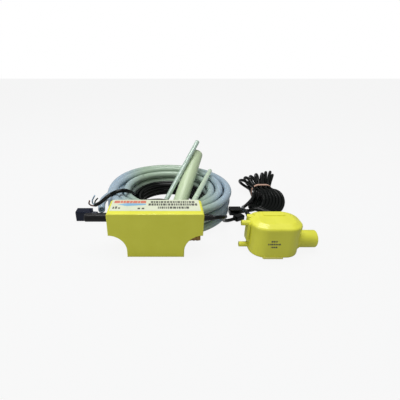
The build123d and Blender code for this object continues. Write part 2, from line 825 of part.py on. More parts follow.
def make_lid_clip():
    """The springy tongue that hangs from the lid past the tank's left wall, with a thumb curl."""
    face = tank_left - lid_overhang
    top = lid_shoulder - lid_edge_round + 0.5
    outline = Plane.XZ * make_face(
        Curve()
        + [
            Line((face, top), (face, top - clip_drop)),
            Line((face, top - clip_drop), (face - 1.2, top - clip_drop - 1.4)),
            Line((face - 1.2, top - clip_drop - 1.4), (face - clip_thickness - 1.2, top - clip_drop - 0.4)),
            ThreePointArc(
                (face - clip_thickness - 1.2, top - clip_drop - 0.4),
                (face - clip_thickness - 1.4, top - clip_drop / 2),
                (face - clip_thickness, top),
            ),
            Line((face - clip_thickness, top), (face, top)),
        ]
    )
    tongue = extrude(outline, amount=clip_width / 2, both=True)
    return tongue - disc_x(nipple_diameter / 2 + seat_gap, face - 9, face + 1, vent_z)


def make_float():
    """The foam ring that rises with the water, hollowed for its magnet."""
    bore = post_diameter / 2 + float_bore_gap
    body = post_z(float_diameter / 2, tank_x, 0, float_rest_z, float_rest_z + float_height)
    body = chamfer(body.edges().filter_by(GeomType.CIRCLE), 1.2)
    body -= post_z(bore, tank_x, 0, float_rest_z - 1, float_rest_z + float_height + 1)
    top = float_rest_z + float_height
    return body - post_z(bore + magnet_radial, tank_x, 0, top - magnet_height, top + 1)


def make_float_magnet():
    """The ring magnet let into the top of the float."""
    bore = post_diameter / 2 + float_bore_gap
    top = float_rest_z + float_height
    ring = post_z(bore + magnet_radial - seat_gap, tank_x, 0, top - magnet_height, top)
    return ring - post_z(bore, tank_x, 0, top - magnet_height - 1, top + 1)


def make_sensor_post():
    """The sealed stem with the reed switches, standing on the tank's floor."""
    collar_top = tank_inside_z + post_collar_height
    clip_bottom = float_limit_z + soft_gap
    post = post_z(post_collar_radius, tank_x, 0, tank_inside_z, collar_top - soft_gap)
    post += post_z(post_diameter / 2, tank_x, 0, tank_inside_z, clip_bottom + post_clip_height + 1.4)
    groove = post_z(post_diameter, tank_x, 0, clip_bottom, clip_bottom + post_clip_height)
    groove -= post_z(post_diameter / 2 - 0.5, tank_x, 0, 0, lid_top)
    post -= groove
    crown = post.faces().sort_by(Axis.Z)[-1].edges()
    return fillet(crown, 0.8)


def make_post_clip():
    """The spring clip in the post's groove that stops the float."""
    bottom = float_limit_z + soft_gap
    ring = post_z(post_clip_radius, tank_x, 0, bottom, bottom + post_clip_height)
    ring -= post_z(post_diameter / 2 - 0.5 + seat_gap, tank_x, 0, 0, lid_top)
    return ring - box_at((post_clip_radius * 2, 2.4, 9), (tank_x + post_clip_radius, 0, bottom))


def make_screen():
    """The slotted filter that slides down between the tank's rails."""
    half = inside_half_width(screen_x + screen_thickness / 2) - soft_gap
    height = screen_top - tank_inside_z
    middle_z = tank_inside_z + height / 2
    screen = box_at((screen_thickness, 2 * half, height), (screen_x, 0, middle_z))
    span = 2 * (half - screen_frame)
    slot_size = (screen_thickness * 3, screen_slot_width, height - 2 * screen_border)
    for slot in range(screen_slots):
        y = -span / 2 + span * slot / (screen_slots - 1)
        screen -= box_at(slot_size, (screen_x, y, middle_z))
    return screen


def tank_gland_plane():
    """Where the lead's bush sits: on the flat of the tower, facing the start of the lead."""
    tower = Vector(tank_left + tank_wall, tower_y, probe_lead_route[0][2])
    aim = (Vector(probe_lead_route[0]) - tower).normalized()
    return Plane(origin=tower + aim * tower_flat, z_dir=aim)


def make_tank_gland():
    """The rubber bush in the tower's side that the float's lead comes out of."""
    base = tank_gland_plane()
    length = (Vector(probe_lead_route[0]) - base.origin).length
    tip = base.offset(length) * Circle(lead_diameter / 2 + 0.4)
    cone = loft([base * Circle(tank_gland_radius), tip])
    return cone + extrude(base * Circle(tank_gland_neck), amount=-tank_gland_seat)


# ---------------------------------------------------------------- hoses and leads
def corner_radii(points):
    """A bend radius for each inner point, from the runs beside it and how far it turns."""
    radii = []
    for before, here, after in zip(points, points[1:], points[2:]):
        arriving = Vector(here) - Vector(before)
        leaving = Vector(after) - Vector(here)
        half_turn = math.radians(arriving.get_angle(leaving)) / 2
        radii.append(0.45 * min(arriving.length, leaving.length) / math.tan(max(half_turn, 0.002)))
    return radii


def route_wire(points):
    """Straight runs through the points, joined by arcs that touch both runs."""
    corners = [Vector(p) for p in points]
    runs = [b - a for a, b in zip(corners, corners[1:])]
    straight = all(runs[0].get_angle(run) < 0.5 for run in runs)
    if straight:
        return Line(corners[0], corners[-1])
    return FilletPolyline(*corners, radius=corner_radii(points))


def route_tube(name, points, diameter, bore=0.0):
    """A round cord or hose along its route; its volume is compared with section times length."""
    path = route_wire(points)
    start = Plane(origin=path @ 0, z_dir=path % 0)
    section = start * Circle(diameter / 2)
    if bore:
        section -= start * Circle(bore / 2)
    tube = sweep(section, path=path)
    area = math.pi * (diameter**2 - bore**2) / 4
    radii = corner_radii(points)
    print(name, "length", round(path.length), "volume ratio", round(tube.volume / area / path.length, 4))
    print("   bend radii", [round(r) for r in radii])
    return tube


def ring_solid(inner, outer, height, corner, centre):
    """The outer shape of a coil lying on the ground."""
    section = RectangleRounded(outer - inner, height, corner)
    face = Plane.XZ * Pos((inner + outer) / 2, height / 2 + floor_gap) * section
    return Pos(*centre, 0) * revolve(face, axis=Axis.Z)


def moulded_plug(size, nose, route):
    """A moulded connector at the start of a cord's route, lying on the ground in line with the cord."""
    length, width, height = size
    entry, following = Vector(route[0]), Vector(route[1])
    heading = math.degrees(math.atan2(entry.Y - following.Y, entry.X - following.X))
    body = fillet(box_at((length - nose, width, height), ((length + nose) / 2, 0, 0)).edges().filter_by(Axis.X), 1.6)
    wide, tall = width * 0.62, height * 0.62
    root = Plane(origin=(nose, 0, 0), x_dir=(0, 1, 0), z_dir=(-1, 0, 0)) * RectangleRounded(wide, tall, tall * 0.45)
    tip = Plane(origin=(0, 0, 0), x_dir=(0, 1, 0), z_dir=(-1, 0, 0)) * RectangleRounded(wide * 0.9, tall * 0.9, tall * 0.4)
    return Pos(entry.X, entry.Y, height / 2) * Rot(0, 0, heading) * (body + loft([root, tip]))


def hank_section(x, y, width, height):
    """One section across the bundled lead."""
    plane = Plane(origin=(x, y, height / 2 + tie_thickness + floor_gap), x_dir=(1, 0, 0), z_dir=(0, 1, 0))
    return plane * RectangleRounded(width, height, height * 0.42)


def make_hank():
    """The outer shape of the lead's bundled turns, waisted at the tie."""
    before = tie_at[1] - tie_width
    after = tie_at[1] + tie_width
    waist_near = hank_section(tie_at[0], before, *tie_size)
    waist_far = hank_section(tie_at[0], after, *tie_size)
    near = loft([hank_section(*hank_near_end), hank_section(*hank_near_belly), waist_near])
    far = loft([waist_far, hank_section(*hank_far_belly), hank_section(*hank_far_end)])
    waist = loft([waist_near, waist_far])
    return near + waist + far


def make_tie():
    """The twisted band around the bundle's waist."""
    plane = Plane(origin=(tie_at[0], tie_at[1] - tie_width / 2, 0), x_dir=(1, 0, 0), z_dir=(0, 1, 0))
    width, height = tie_size
    rise = height / 2 + tie_thickness + floor_gap
    outer = RectangleRounded(width + 2 * tie_thickness, height + 2 * tie_thickness, height * 0.42 + tie_thickness)
    inner = RectangleRounded(width + 0.04, height + 0.04, height * 0.42 + 0.02)
    return extrude(plane * Pos(0, -rise) * (outer - inner), amount=tie_width)


# ---------------------------------------------------------------- build
def build_block():
    """The pump block with everything inside it."""
    form = block_form()
    save("pump_casing", make_casing(form))
    save("rear_cover", make_cover(form))
    save("cover_screws", make_cover_screws())
    label_y = half_depth - label_from_back - label_width / 2
    label_x = half_length - label_from_right - label_length / 2
    label_z = pump_height + label_thickness / 2
    label = box_at((label_length, label_width, label_thickness), (label_x, label_y, label_z))
    save("top_label", label)
    save("coil_bobbin", make_bobbin())
    save("coil_winding", make_winding())
    save("magnet_yoke", make_yoke())
    save("armature_tube", ring_x(tube_radius, tube_bore / 2, tube_left, tube_right, pump_axis_z))
    save("pump_cylinder", make_cylinder())
    save("inlet_fitting", make_inlet_fitting())
    save("outlet_fitting", make_outlet_fitting())
    save("inlet_grommet", make_grommet(-1))
    save("outlet_grommet", make_grommet(1))
    save("outlet_seal", ring_x(cap_radius, fitting_bore / 2 + 0.6, chamber_right, seal_right, pump_axis_z))
    save("armature", make_armature())
    save("plunger", make_plunger())
    gap = armature_left - tube_left
    save("buffer_spring", coil_spring(tube_left, gap, spring_diameter, spring_wire, spring_turns, pump_axis_z))
    save("return_spring", coil_spring(armature_right, gap, spring_diameter, spring_wire, spring_turns, pump_axis_z))
    save("outlet_valve", make_outlet_valve())
    spring_left = chamber_left + poppet_height
    room = chamber_right - spring_left
    valve_spring = coil_spring(spring_left, room, valve_spring_diameter, valve_spring_wire, valve_spring_turns, pump_axis_z)
    save("valve_spring", valve_spring)
    cutout_z = pump_axis_z + tube_radius + seat_gap + bobbin_wall + winding_depth + cutout_size[2] / 2
    cutout = box_at(cutout_size, ((bobbin_left + bobbin_right) / 2, 0, cutout_z))
    save("thermal_cutout", fillet(cutout.edges().filter_by(Axis.Z), 2))


def build_board():
    """The control board and its components."""
    save("control_board", make_board())
    save("board_screws", make_board_screws())
    save("relay", on_board(relay_size, relay_x, board_z))
    save("suppression_capacitor", on_board(capacitor_size, capacitor_x, board_z))
    save("triac", on_board(triac_size, triac_x, board_z))
    save("terminal_blocks", make_terminals())


def build_reservoir():
    """The float reservoir and what is in it."""
    save("reservoir_tank", make_tank())
    save("mounting_foot", make_foot())
    save("reservoir_lid", make_lid())
    save("lid_seal", make_lid_seal())
    save("lid_clip", make_lid_clip())
    save("float", make_float())
    save("float_magnet", make_float_magnet())
    save("sensor_post", make_sensor_post())
    save("post_clip", make_post_clip())
    save("filter_screen", make_screen())
    save("reservoir_gland", make_tank_gland())


def build_leads():
    """The lead entries, the connectors, and every cord with its coil or bundle."""
    save("power_socket", make_power_socket())
    save("socket_pins", make_socket_pins())
    save("sensor_gland", make_sensor_gland())
    save("power_plug", moulded_plug(plug_size, plug_nose, cord_run_route))
    save("power_cord_run", route_tube("power_cord_run", cord_run_route, cord_diameter))
    cord_coil_outer = hose_coil_inner - soft_gap
    coil = ring_solid(cord_coil_inner, cord_coil_outer, cord_coil_height, cord_coil_round, hose_coil_centre)
    save("power_cord_coil", coil)
    save("power_cord_tail", route_tube("power_cord_tail", cord_tail_route, cord_diameter))
    for name, route in zip(("brown_wire", "blue_wire", "earth_wire"), wire_routes):
        save(name, route_tube(name, route, wire_diameter))
    save("sensor_plug", moulded_plug(sensor_plug_size, sensor_plug_nose, probe_tail_route))
    save("sensor_socket", moulded_plug(sensor_socket_size, sensor_socket_nose, sensor_lead_route[::-1]))
    save("sensor_lead", route_tube("sensor_lead", sensor_lead_route, lead_diameter))
    save("probe_lead_run", route_tube("probe_lead_run", probe_lead_route, lead_diameter))
    save("probe_lead_hank", make_hank())
    save("probe_lead_tail", route_tube("probe_lead_tail", probe_tail_route, lead_diameter))
    save("hank_tie", make_tie())


def build_hoses():
    """The clear hose's coil and its loose end, the sleeve and the two short vent tubes."""
    coil = ring_solid(hose_coil_inner, hose_coil_outer, hose_coil_height, hose_coil_round, hose_coil_centre)
    save("discharge_hose_coil", coil)
    save("discharge_hose_tail", route_tube("discharge_hose_tail", hose_tail_route, hose_diameter, hose_bore))
    save("inlet_sleeve", route_tube("inlet_sleeve", sleeve_route, sleeve_diameter, sleeve_bore))
    save("vent_tube", route_tube("vent_tube", vent_tube_route, vent_tube_diameter, vent_tube_bore))
    save("spare_tube", route_tube("spare_tube", spare_tube_route, vent_tube_diameter, vent_tube_bore))


os.makedirs("parts", exist_ok=True)
build_block()
build_board()
build_reservoir()
build_leads()
build_hoses()
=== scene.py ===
"""A small condensate pump kit: pump block, float reservoir, coiled hose, sleeves and leads.

Meshes, the camera and the lamps are in metres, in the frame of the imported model. Routes, slots,
marks and diameters are written in millimetres.
"""

import logging
import math
from dataclasses import dataclass
from enum import Enum
from typing import ClassVar, Sequence

import bpy
import numpy as np
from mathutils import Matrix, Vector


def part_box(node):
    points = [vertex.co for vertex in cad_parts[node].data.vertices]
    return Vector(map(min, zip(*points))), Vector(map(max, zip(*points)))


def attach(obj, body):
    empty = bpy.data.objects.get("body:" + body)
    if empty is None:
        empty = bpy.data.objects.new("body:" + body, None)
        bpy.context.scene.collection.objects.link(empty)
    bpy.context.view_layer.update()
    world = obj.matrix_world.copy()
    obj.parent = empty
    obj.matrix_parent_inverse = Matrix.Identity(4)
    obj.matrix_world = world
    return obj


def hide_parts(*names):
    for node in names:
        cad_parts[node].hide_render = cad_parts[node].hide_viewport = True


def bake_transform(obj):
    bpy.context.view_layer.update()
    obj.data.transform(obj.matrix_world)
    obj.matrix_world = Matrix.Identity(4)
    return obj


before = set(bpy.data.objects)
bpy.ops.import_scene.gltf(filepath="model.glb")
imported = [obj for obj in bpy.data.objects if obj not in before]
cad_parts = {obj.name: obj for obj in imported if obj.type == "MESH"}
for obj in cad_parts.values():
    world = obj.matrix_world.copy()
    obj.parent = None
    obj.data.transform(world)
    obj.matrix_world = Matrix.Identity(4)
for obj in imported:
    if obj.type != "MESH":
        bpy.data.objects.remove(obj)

log = logging.getLogger("condensate_pump")
Point = tuple[float, float, float]
Colour = tuple[float, float, float]

MM = 0.001
BODY = "kit"
COIL_CENTRE = (15.0, 104.2)


class FarEnd(Enum):
    """What is on the far end of a cord."""

    BARE = "bare"
    CONNECTOR = "connector"


class Give(Enum):
    """How stiff a cord is."""

    LIMP = "limp"
    MEDIUM = "medium"
    STIFF = "stiff"


class Lay(Enum):
    """How a cord lies."""

    LOOSE = "loose"
    COILED = "coiled"


# ------------------------------------------------------------------ shading


class ShadeTree:
    """Adds shader nodes to one node tree and joins them."""

    def __init__(self, tree: bpy.types.NodeTree) -> None:
        """Keeps the node tree that the nodes are added to."""
        self.tree = tree

    def add(self, kind: str, **settings: object) -> bpy.types.Node:
        """Adds one node.

        Args:
            kind: Blender's name for the node's type.
            **settings: The node's own properties.

        Returns:
            The new node.
        """
        node = self.tree.nodes.new(kind)
        for key, value in settings.items():
            setattr(node, key, value)
        return node

    def join(self, source: bpy.types.NodeSocket, target: bpy.types.NodeSocket) -> None:
        """Links an output socket to an input socket."""
        self.tree.links.new(source, target)

    def feed(self, target: bpy.types.NodeSocket, value: object) -> None:
        """Gives an input its value, or links it to an output.

        Args:
            target: The input socket.
            value: A value of the input's own kind, or an output socket.
        """
        if isinstance(value, bpy.types.NodeSocket):
            self.join(value, target)
        else:
            target.default_value = value

    def maths(self, operation: str, *values: object) -> bpy.types.NodeSocket:
        """Adds a Math node.

        Args:
            operation: The sum that it does.
            *values: Its inputs, each a number or an output socket.

        Returns:
            The node's output.
        """
        node = self.add("ShaderNodeMath", operation=operation)
        for place, value in enumerate(values):
            self.feed(node.inputs[place], value)
        return node.outputs[0]

    def noise(self, where: bpy.types.NodeSocket, scale: object, detail: float) -> bpy.types.NodeSocket:
        """Adds a Noise texture.

        Args:
            where: The coordinates that it reads.
            scale: Its scale per metre, a number or an output socket.
            detail: Its detail.

        Returns:
            The noise value, about 0.5 on average.
        """
        node = self.add("ShaderNodeTexNoise")
        node.inputs["Detail"].default_value = detail
        self.join(where, node.inputs["Vector"])
        self.feed(node.inputs["Scale"], scale)
        return node.outputs[0]

    def ramp(self, value: bpy.types.NodeSocket, low: float, high: float) -> bpy.types.NodeSocket:
        """Spreads a value from low to high over 0 to 1, smoothly.

        Args:
            value: The value.
            low: What becomes 0.
            high: What becomes 1.

        Returns:
            The new value.
        """
        node = self.add("ShaderNodeMapRange", interpolation_type="SMOOTHSTEP")
        node.inputs["From Min"].default_value = low
        node.inputs["From Max"].default_value = high
        self.join(value, node.inputs["Value"])
        return node.outputs[0]

    def mix(self, mask: bpy.types.NodeSocket, first: object, second: object) -> bpy.types.NodeSocket:
        """Mixes two colours.

        Args:
            mask: 0 for the first colour, 1 for the second.
            first: Four numbers or an output socket.
            second: Four numbers or an output socket.

        Returns:
            The mixed colour.
        """
        node = self.add("ShaderNodeMix", data_type="RGBA")
        factor, one, other, mixed = 0, 6, 7, 2
        self.join(mask, node.inputs[factor])
        self.feed(node.inputs[one], first)
        self.feed(node.inputs[other], second)
        return node.outputs[mixed]


class SharedEffects:
    """The shader node groups that several finishes use, each built once.

    A span is the part of a noise value, from low to high, that is spread over 0 to 1.
    """

    ROUGHNESS_SPAN: ClassVar[tuple[float, float]] = (0.3, 0.7)
    CLOUD_SPAN: ClassVar[tuple[float, float]] = (0.35, 0.65)
    SPECK_SPAN: ClassVar[tuple[float, float]] = (0.66, 0.74)

    @staticmethod
    def _group(
        name: str, inputs: Sequence[tuple[str, str, object]], outputs: Sequence[tuple[str, str]]
    ) -> tuple[bpy.types.NodeTree, ShadeTree, bpy.types.Node, bpy.types.Node]:
        """Starts a node group with named inputs and outputs.

        Args:
            name: The group's name.
            inputs: Each input's name, socket type and default value.
            outputs: Each output's name and socket type.

        Returns:
            The group, its tree helper, its input node and its output node.
        """
        group = bpy.data.node_groups.new(name, "ShaderNodeTree")
        for label, kind, value in inputs:
            socket = group.interface.new_socket(name=label, in_out="INPUT", socket_type=kind)
            socket.default_value = value
        for label, kind in outputs:
            group.interface.new_socket(name=label, in_out="OUTPUT", socket_type=kind)
        shade = ShadeTree(group)
        return group, shade, shade.add("NodeGroupInput"), shade.add("NodeGroupOutput")

    @classmethod
    def grain(cls) -> bpy.types.NodeTree:
        """Fine moulded grain: a height for a bump, and a roughness that varies with a broader cloud.

        Returns:
            The group, with outputs Height and Roughness.
        """
        ready = bpy.data.node_groups.get("moulded_grain")
        if ready:
            return ready
        number = "NodeSocketFloat"
        group, shade, given, out = cls._group(
            "moulded_grain",
            (
                ("Grain Scale", number, 3000.0),
                ("Cloud Scale", number, 60.0),
                ("Smooth", number, 0.3),
                ("Rough", number, 0.5),
            ),
            (("Height", number), ("Roughness", number)),
        )
        where = shade.add("ShaderNodeTexCoord").outputs["Object"]
        fine = shade.noise(where, given.outputs["Grain Scale"], 3.0)
        cloud = shade.ramp(shade.noise(where, given.outputs["Cloud Scale"], 4.0), *cls.ROUGHNESS_SPAN)
        span = shade.maths("SUBTRACT", given.outputs["Rough"], given.outputs["Smooth"])
        rough = shade.maths("MULTIPLY_ADD", cloud, span, given.outputs["Smooth"])
        shade.join(fine, out.inputs["Height"])
        shade.join(rough, out.inputs["Roughness"])
        return group

    @classmethod
    def mottle(cls) -> bpy.types.NodeTree:
        """Two shades of one colour in soft clouds, with sparse darker specks of handling dirt.

        Returns:
            The group, with the output Colour.
        """
        ready = bpy.data.node_groups.get("mottled_colour")
        if ready:
            return ready
        number, paint = "NodeSocketFloat", "NodeSocketColor"
        group, shade, given, out = cls._group(
            "mottled_colour",
            (
                ("First", paint, (0.5, 0.5, 0.5, 1.0)),
                ("Second", paint, (0.6, 0.6, 0.6, 1.0)),
                ("Speck", paint, (0.3, 0.3, 0.3, 1.0)),
                ("Cloud Scale", number, 40.0),
                ("Speck Scale", number, 700.0),
                ("Speck Amount", number, 0.15),
            ),
            (("Colour", paint),),
        )
        where = shade.add("ShaderNodeTexCoord").outputs["Object"]
        cloud = shade.ramp(shade.noise(where, given.outputs["Cloud Scale"], 3.0), *cls.CLOUD_SPAN)
        speck = shade.ramp(shade.noise(where, given.outputs["Speck Scale"], 2.0), *cls.SPECK_SPAN)
        amount = shade.maths("MULTIPLY", speck, given.outputs["Speck Amount"])
        base = shade.mix(cloud, given.outputs["First"], given.outputs["Second"])
        shade.join(shade.mix(amount, base, given.outputs["Speck"]), out.inputs["Colour"])
        return group


@dataclass(frozen=True)
class Finish:
    """A solid finish: mottled colour, fine grain and a roughness that varies.

    Colours are linear. Grain depth is in metres.
    """

    name: str
    colour: Colour
    second: Colour
    smooth: float = 0.35
    rough: float = 0.55
    grain_scale: float = 2600.0
    grain_depth: float = 0.00003
    cloud_scale: float = 45.0
    speck: float = 0.10
    metallic: float = 0.0
    coat: float = 0.0
    specular: float = 0.5
    SPECK_SHARE: ClassVar[float] = 0.45

    def material(self) -> bpy.types.Material:
        """Returns the material, which is built the first time."""
        ready = bpy.data.materials.get(self.label)
        return ready or self._build()

    @property
    def label(self) -> str:
        """The material's name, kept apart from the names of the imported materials."""
        return "look_" + self.name

    def _build(self) -> bpy.types.Material:
        """Joins the shared effects to a Principled shader.

        Returns:
            The new material.
        """
        made = bpy.data.materials.new(self.label)
        made.use_nodes = True
        shade = ShadeTree(made.node_tree)
        shader = made.node_tree.nodes["Principled BSDF"]
        shader.inputs["Metallic"].default_value = self.metallic
        shader.inputs["Coat Weight"].default_value = self.coat
        shader.inputs["Specular IOR Level"].default_value = self.specular
        self._colour(shade, shader)
        self._relief(shade, shader)
        return made

    def _colour(self, shade: ShadeTree, shader: bpy.types.Node) -> None:
        """Feeds the mottled colour to the shader.

        Args:
            shade: The material's tree.
            shader: Its Principled node.
        """
        mottle = shade.add("ShaderNodeGroup", node_tree=SharedEffects.mottle())
        mottle.inputs["First"].default_value = (*self.colour, 1.0)
        mottle.inputs["Second"].default_value = (*self.second, 1.0)
        mottle.inputs["Speck"].default_value = (*(self.SPECK_SHARE * c for c in self.colour), 1.0)
        mottle.inputs["Cloud Scale"].default_value = self.cloud_scale
        mottle.inputs["Speck Amount"].default_value = self.speck
        shade.join(mottle.outputs["Colour"], shader.inputs["Base Color"])

    def _relief(self, shade: ShadeTree, shader: bpy.types.Node) -> None:
        """Feeds grain and roughness to the shader.

        Args:
            shade: The material's tree.
            shader: Its Principled node.
        """
        grain = shade.add("ShaderNodeGroup", node_tree=SharedEffects.grain())
        grain.inputs["Grain Scale"].default_value = self.grain_scale
        grain.inputs["Cloud Scale"].default_value = self.cloud_scale
        grain.inputs["Smooth"].default_value = self.smooth
        grain.inputs["Rough"].default_value = self.rough
        shade.join(grain.outputs["Roughness"], shader.inputs["Roughness"])
        bump = shade.add("ShaderNodeBump")
        bump.inputs["Distance"].default_value = self.grain_depth
        shade.join(grain.outputs["Height"], bump.inputs["Height"])
        shade.join(bump.outputs["Normal"], shader.inputs["Normal"])


@dataclass(frozen=True)
class BandedFinish(Finish):
    """A finish with even bands along one axis, such as wound wire or turned metal.

    Blender draws a band every pi / 10 metres at a scale of 1, and closer at a larger scale.
    """

    band_pitch: float = 0.0005
    band_axis: str = "X"
    band_depth: float = 0.0001
    PITCH_AT_ONE: ClassVar[float] = math.pi / 10.0

    def _relief(self, shade: ShadeTree, shader: bpy.types.Node) -> None:
        """Feeds the bands' height and the cloudy roughness to the shader.

        Args:
            shade: The material's tree.
            shader: Its Principled node.
        """
        grain = shade.add("ShaderNodeGroup", node_tree=SharedEffects.grain())
        grain.inputs["Smooth"].default_value = self.smooth
        grain.inputs["Rough"].default_value = self.rough
        shade.join(grain.outputs["Roughness"], shader.inputs["Roughness"])
        where = shade.add("ShaderNodeTexCoord").outputs["Object"]
        wave = shade.add("ShaderNodeTexWave", bands_direction=self.band_axis)
        wave.inputs["Scale"].default_value = self.PITCH_AT_ONE / self.band_pitch
        shade.join(where, wave.inputs["Vector"])
        bump = shade.add("ShaderNodeBump")
        bump.inputs["Distance"].default_value = self.band_depth
        shade.join(wave.outputs["Fac"], bump.inputs["Height"])
        shade.join(bump.outputs["Normal"], shader.inputs["Normal"])


@dataclass(frozen=True)
class ClearFinish(Finish):
    """A see-through or milky finish: some light passes through, the rest scatters.

    Its colour turns to the flank sheen, a painted sheen on the parts that lie far to either side of the
    coil's middle, between two distances from one X station.
    """

    through: float = 0.5
    ior: float = 1.45
    flank_sheen: Colour = (0.5, 0.5, 0.5)
    sheen_middle_x: float = 0.015
    sheen_from: float = 0.035
    sheen_to: float = 0.075

    def _build(self) -> bpy.types.Material:
        """Adds transmission to the plain finish.

        Returns:
            The new material.
        """
        made = super()._build()
        shader = made.node_tree.nodes["Principled BSDF"]
        shader.inputs["Transmission Weight"].default_value = self.through
        shader.inputs["IOR"].default_value = self.ior
        return made

    def _colour(self, shade: ShadeTree, shader: bpy.types.Node) -> None:
        """Mixes the mottled colour with the painted flank sheen by the distance from the middle station.

        Args:
            shade: The material's tree.
            shader: Its Principled node.
        """
        super()._colour(shade, shader)
        mottled = shader.inputs["Base Color"].links[0].from_socket
        parts = shade.add("ShaderNodeSeparateXYZ")
        shade.join(shade.add("ShaderNodeTexCoord").outputs["Object"], parts.inputs[0])
        # Painted sheen: away from the middle X station the colour turns to the lighter, bluer flank colour of
        # the coil's sides.
        away = shade.maths("ABSOLUTE", shade.maths("SUBTRACT", parts.outputs["X"], self.sheen_middle_x))
        mask = shade.ramp(away, self.sheen_from, self.sheen_to)
        shade.join(shade.mix(mask, mottled, (*self.flank_sheen, 1.0)), shader.inputs["Base Color"])


YELLOW_SHELL = Finish("yellow_shell", (0.75, 0.745, 0.055), (0.78, 0.775, 0.065), 0.36, 0.48, coat=0.16)
YELLOW_FOOT = Finish("yellow_foot", (0.80, 0.77, 0.18), (0.83, 0.80, 0.22), 0.36, 0.50)
LABEL_FILM = Finish(
    "label_film", (0.68, 0.73, 0.54), (0.72, 0.76, 0.58), 0.25, 0.40, 5200.0, 0.00001,
    coat=0.1,
)
SCREW_STEEL = Finish("screw_steel", (0.55, 0.56, 0.57), (0.62, 0.63, 0.64), 0.25, 0.45, metallic=1.0)
COPPER = BandedFinish("copper", (0.62, 0.26, 0.10), (0.70, 0.32, 0.13), 0.25, 0.40, metallic=1.0)
BOBBIN_NYLON = Finish("bobbin_nylon", (0.74, 0.70, 0.60), (0.78, 0.75, 0.66), 0.40, 0.55)
YOKE_STEEL = Finish("yoke_steel", (0.42, 0.43, 0.45), (0.52, 0.53, 0.54), 0.30, 0.50, metallic=1.0)
BRASS = BandedFinish("brass", (0.30, 0.17, 0.06), (0.38, 0.23, 0.09), 0.28, 0.45, metallic=1.0)
IRON = Finish("iron", (0.24, 0.25, 0.27), (0.30, 0.31, 0.32), 0.35, 0.55, metallic=1.0)
SPRING_STEEL = Finish("spring_steel", (0.50, 0.51, 0.53), (0.58, 0.59, 0.60), 0.20, 0.35, metallic=1.0)
BLACK_RUBBER = Finish("black_rubber", (0.004, 0.004, 0.005), (0.006, 0.006, 0.007), 0.30, 0.45, specular=0.3)
BOARD_GREEN = Finish(
    "board_green", (0.010, 0.075, 0.022), (0.016, 0.105, 0.032), 0.25, 0.40,
    cloud_scale=420.0,
)
COMPONENT_BLUE = Finish("component_blue", (0.014, 0.05, 0.24), (0.018, 0.065, 0.28), 0.25, 0.40)
COMPONENT_BLACK = Finish("component_black", (0.010, 0.010, 0.010), (0.016, 0.016, 0.016), 0.40, 0.60)
TERMINAL_GREY = Finish("terminal_grey", (0.17, 0.19, 0.18), (0.20, 0.22, 0.21), 0.35, 0.55)
FLOAT_FOAM = Finish("float_foam", (0.78, 0.78, 0.74), (0.72, 0.72, 0.68), 0.70, 0.90, 1500.0, 0.0002)
MAGNET_FERRITE = Finish("magnet_ferrite", (0.030, 0.030, 0.032), (0.045, 0.045, 0.048), 0.40, 0.60)
POST_WHITE = Finish("post_white", (0.72, 0.72, 0.68), (0.76, 0.76, 0.72), 0.35, 0.50)
CORD_BLACK = Finish(
    "cord_black", (0.0015, 0.0025, 0.002), (0.0025, 0.0035, 0.003), 0.10, 0.16, 1800.0, 0.000003,
    speck=0.0, specular=0.24,
)
PLUG_BLACK = Finish(
    "plug_black", (0.004, 0.007, 0.020), (0.006, 0.010, 0.026), 0.14, 0.24,
    speck=0.0, specular=0.3,
)
WIRE_BROWN = Finish("wire_brown", (0.11, 0.035, 0.012), (0.14, 0.045, 0.016), 0.25, 0.40)
WIRE_BLUE = Finish("wire_blue", (0.34, 0.48, 0.62), (0.38, 0.52, 0.66), 0.25, 0.40)
WIRE_EARTH = Finish("wire_earth", (0.012, 0.020, 0.012), (0.03, 0.05, 0.02), 0.25, 0.40)
TIE_BEIGE = Finish("tie_beige", (0.52, 0.33, 0.25), (0.58, 0.38, 0.29), 0.50, 0.70)
# The flank colours of the clear finishes are painted sheen on the sides of the hose coil.
CLEAR_HOSE = ClearFinish(
    "clear_hose", (0.42, 0.55, 0.42), (0.47, 0.60, 0.47), 0.16, 0.28, 400.0, 0.00001,
    speck=0.0, coat=0.08, through=0.26, flank_sheen=(0.44, 0.56, 0.66),
)
MILKY_SLEEVE = ClearFinish(
    "milky_sleeve", (0.56, 0.68, 0.44), (0.59, 0.71, 0.47), 0.30, 0.42,
    speck=0.0, through=0.14, flank_sheen=(0.62, 0.74, 0.50),
)
THIN_TUBE = ClearFinish(
    "thin_tube", (0.50, 0.64, 0.55), (0.54, 0.68, 0.58), 0.12, 0.25,
    speck=0.0, coat=0.4, through=0.20, flank_sheen=(0.54, 0.68, 0.58),
)
PALE_TUBE = ClearFinish(
    "pale_tube", (0.66, 0.80, 0.62), (0.70, 0.84, 0.66), 0.14, 0.28,
    speck=0.0, coat=0.3, through=0.25, flank_sheen=(0.68, 0.82, 0.64),
)
PRINT_SALMON = Finish("print_salmon", (0.62, 0.17, 0.11), (0.66, 0.24, 0.17), 0.40, 0.55)
PRINT_BLUE = Finish("print_blue", (0.20, 0.42, 0.62), (0.26, 0.48, 0.66), 0.40, 0.55)
PRINT_GREY = Finish("print_grey", (0.06, 0.06, 0.05), (0.10, 0.10, 0.08), 0.40, 0.55)

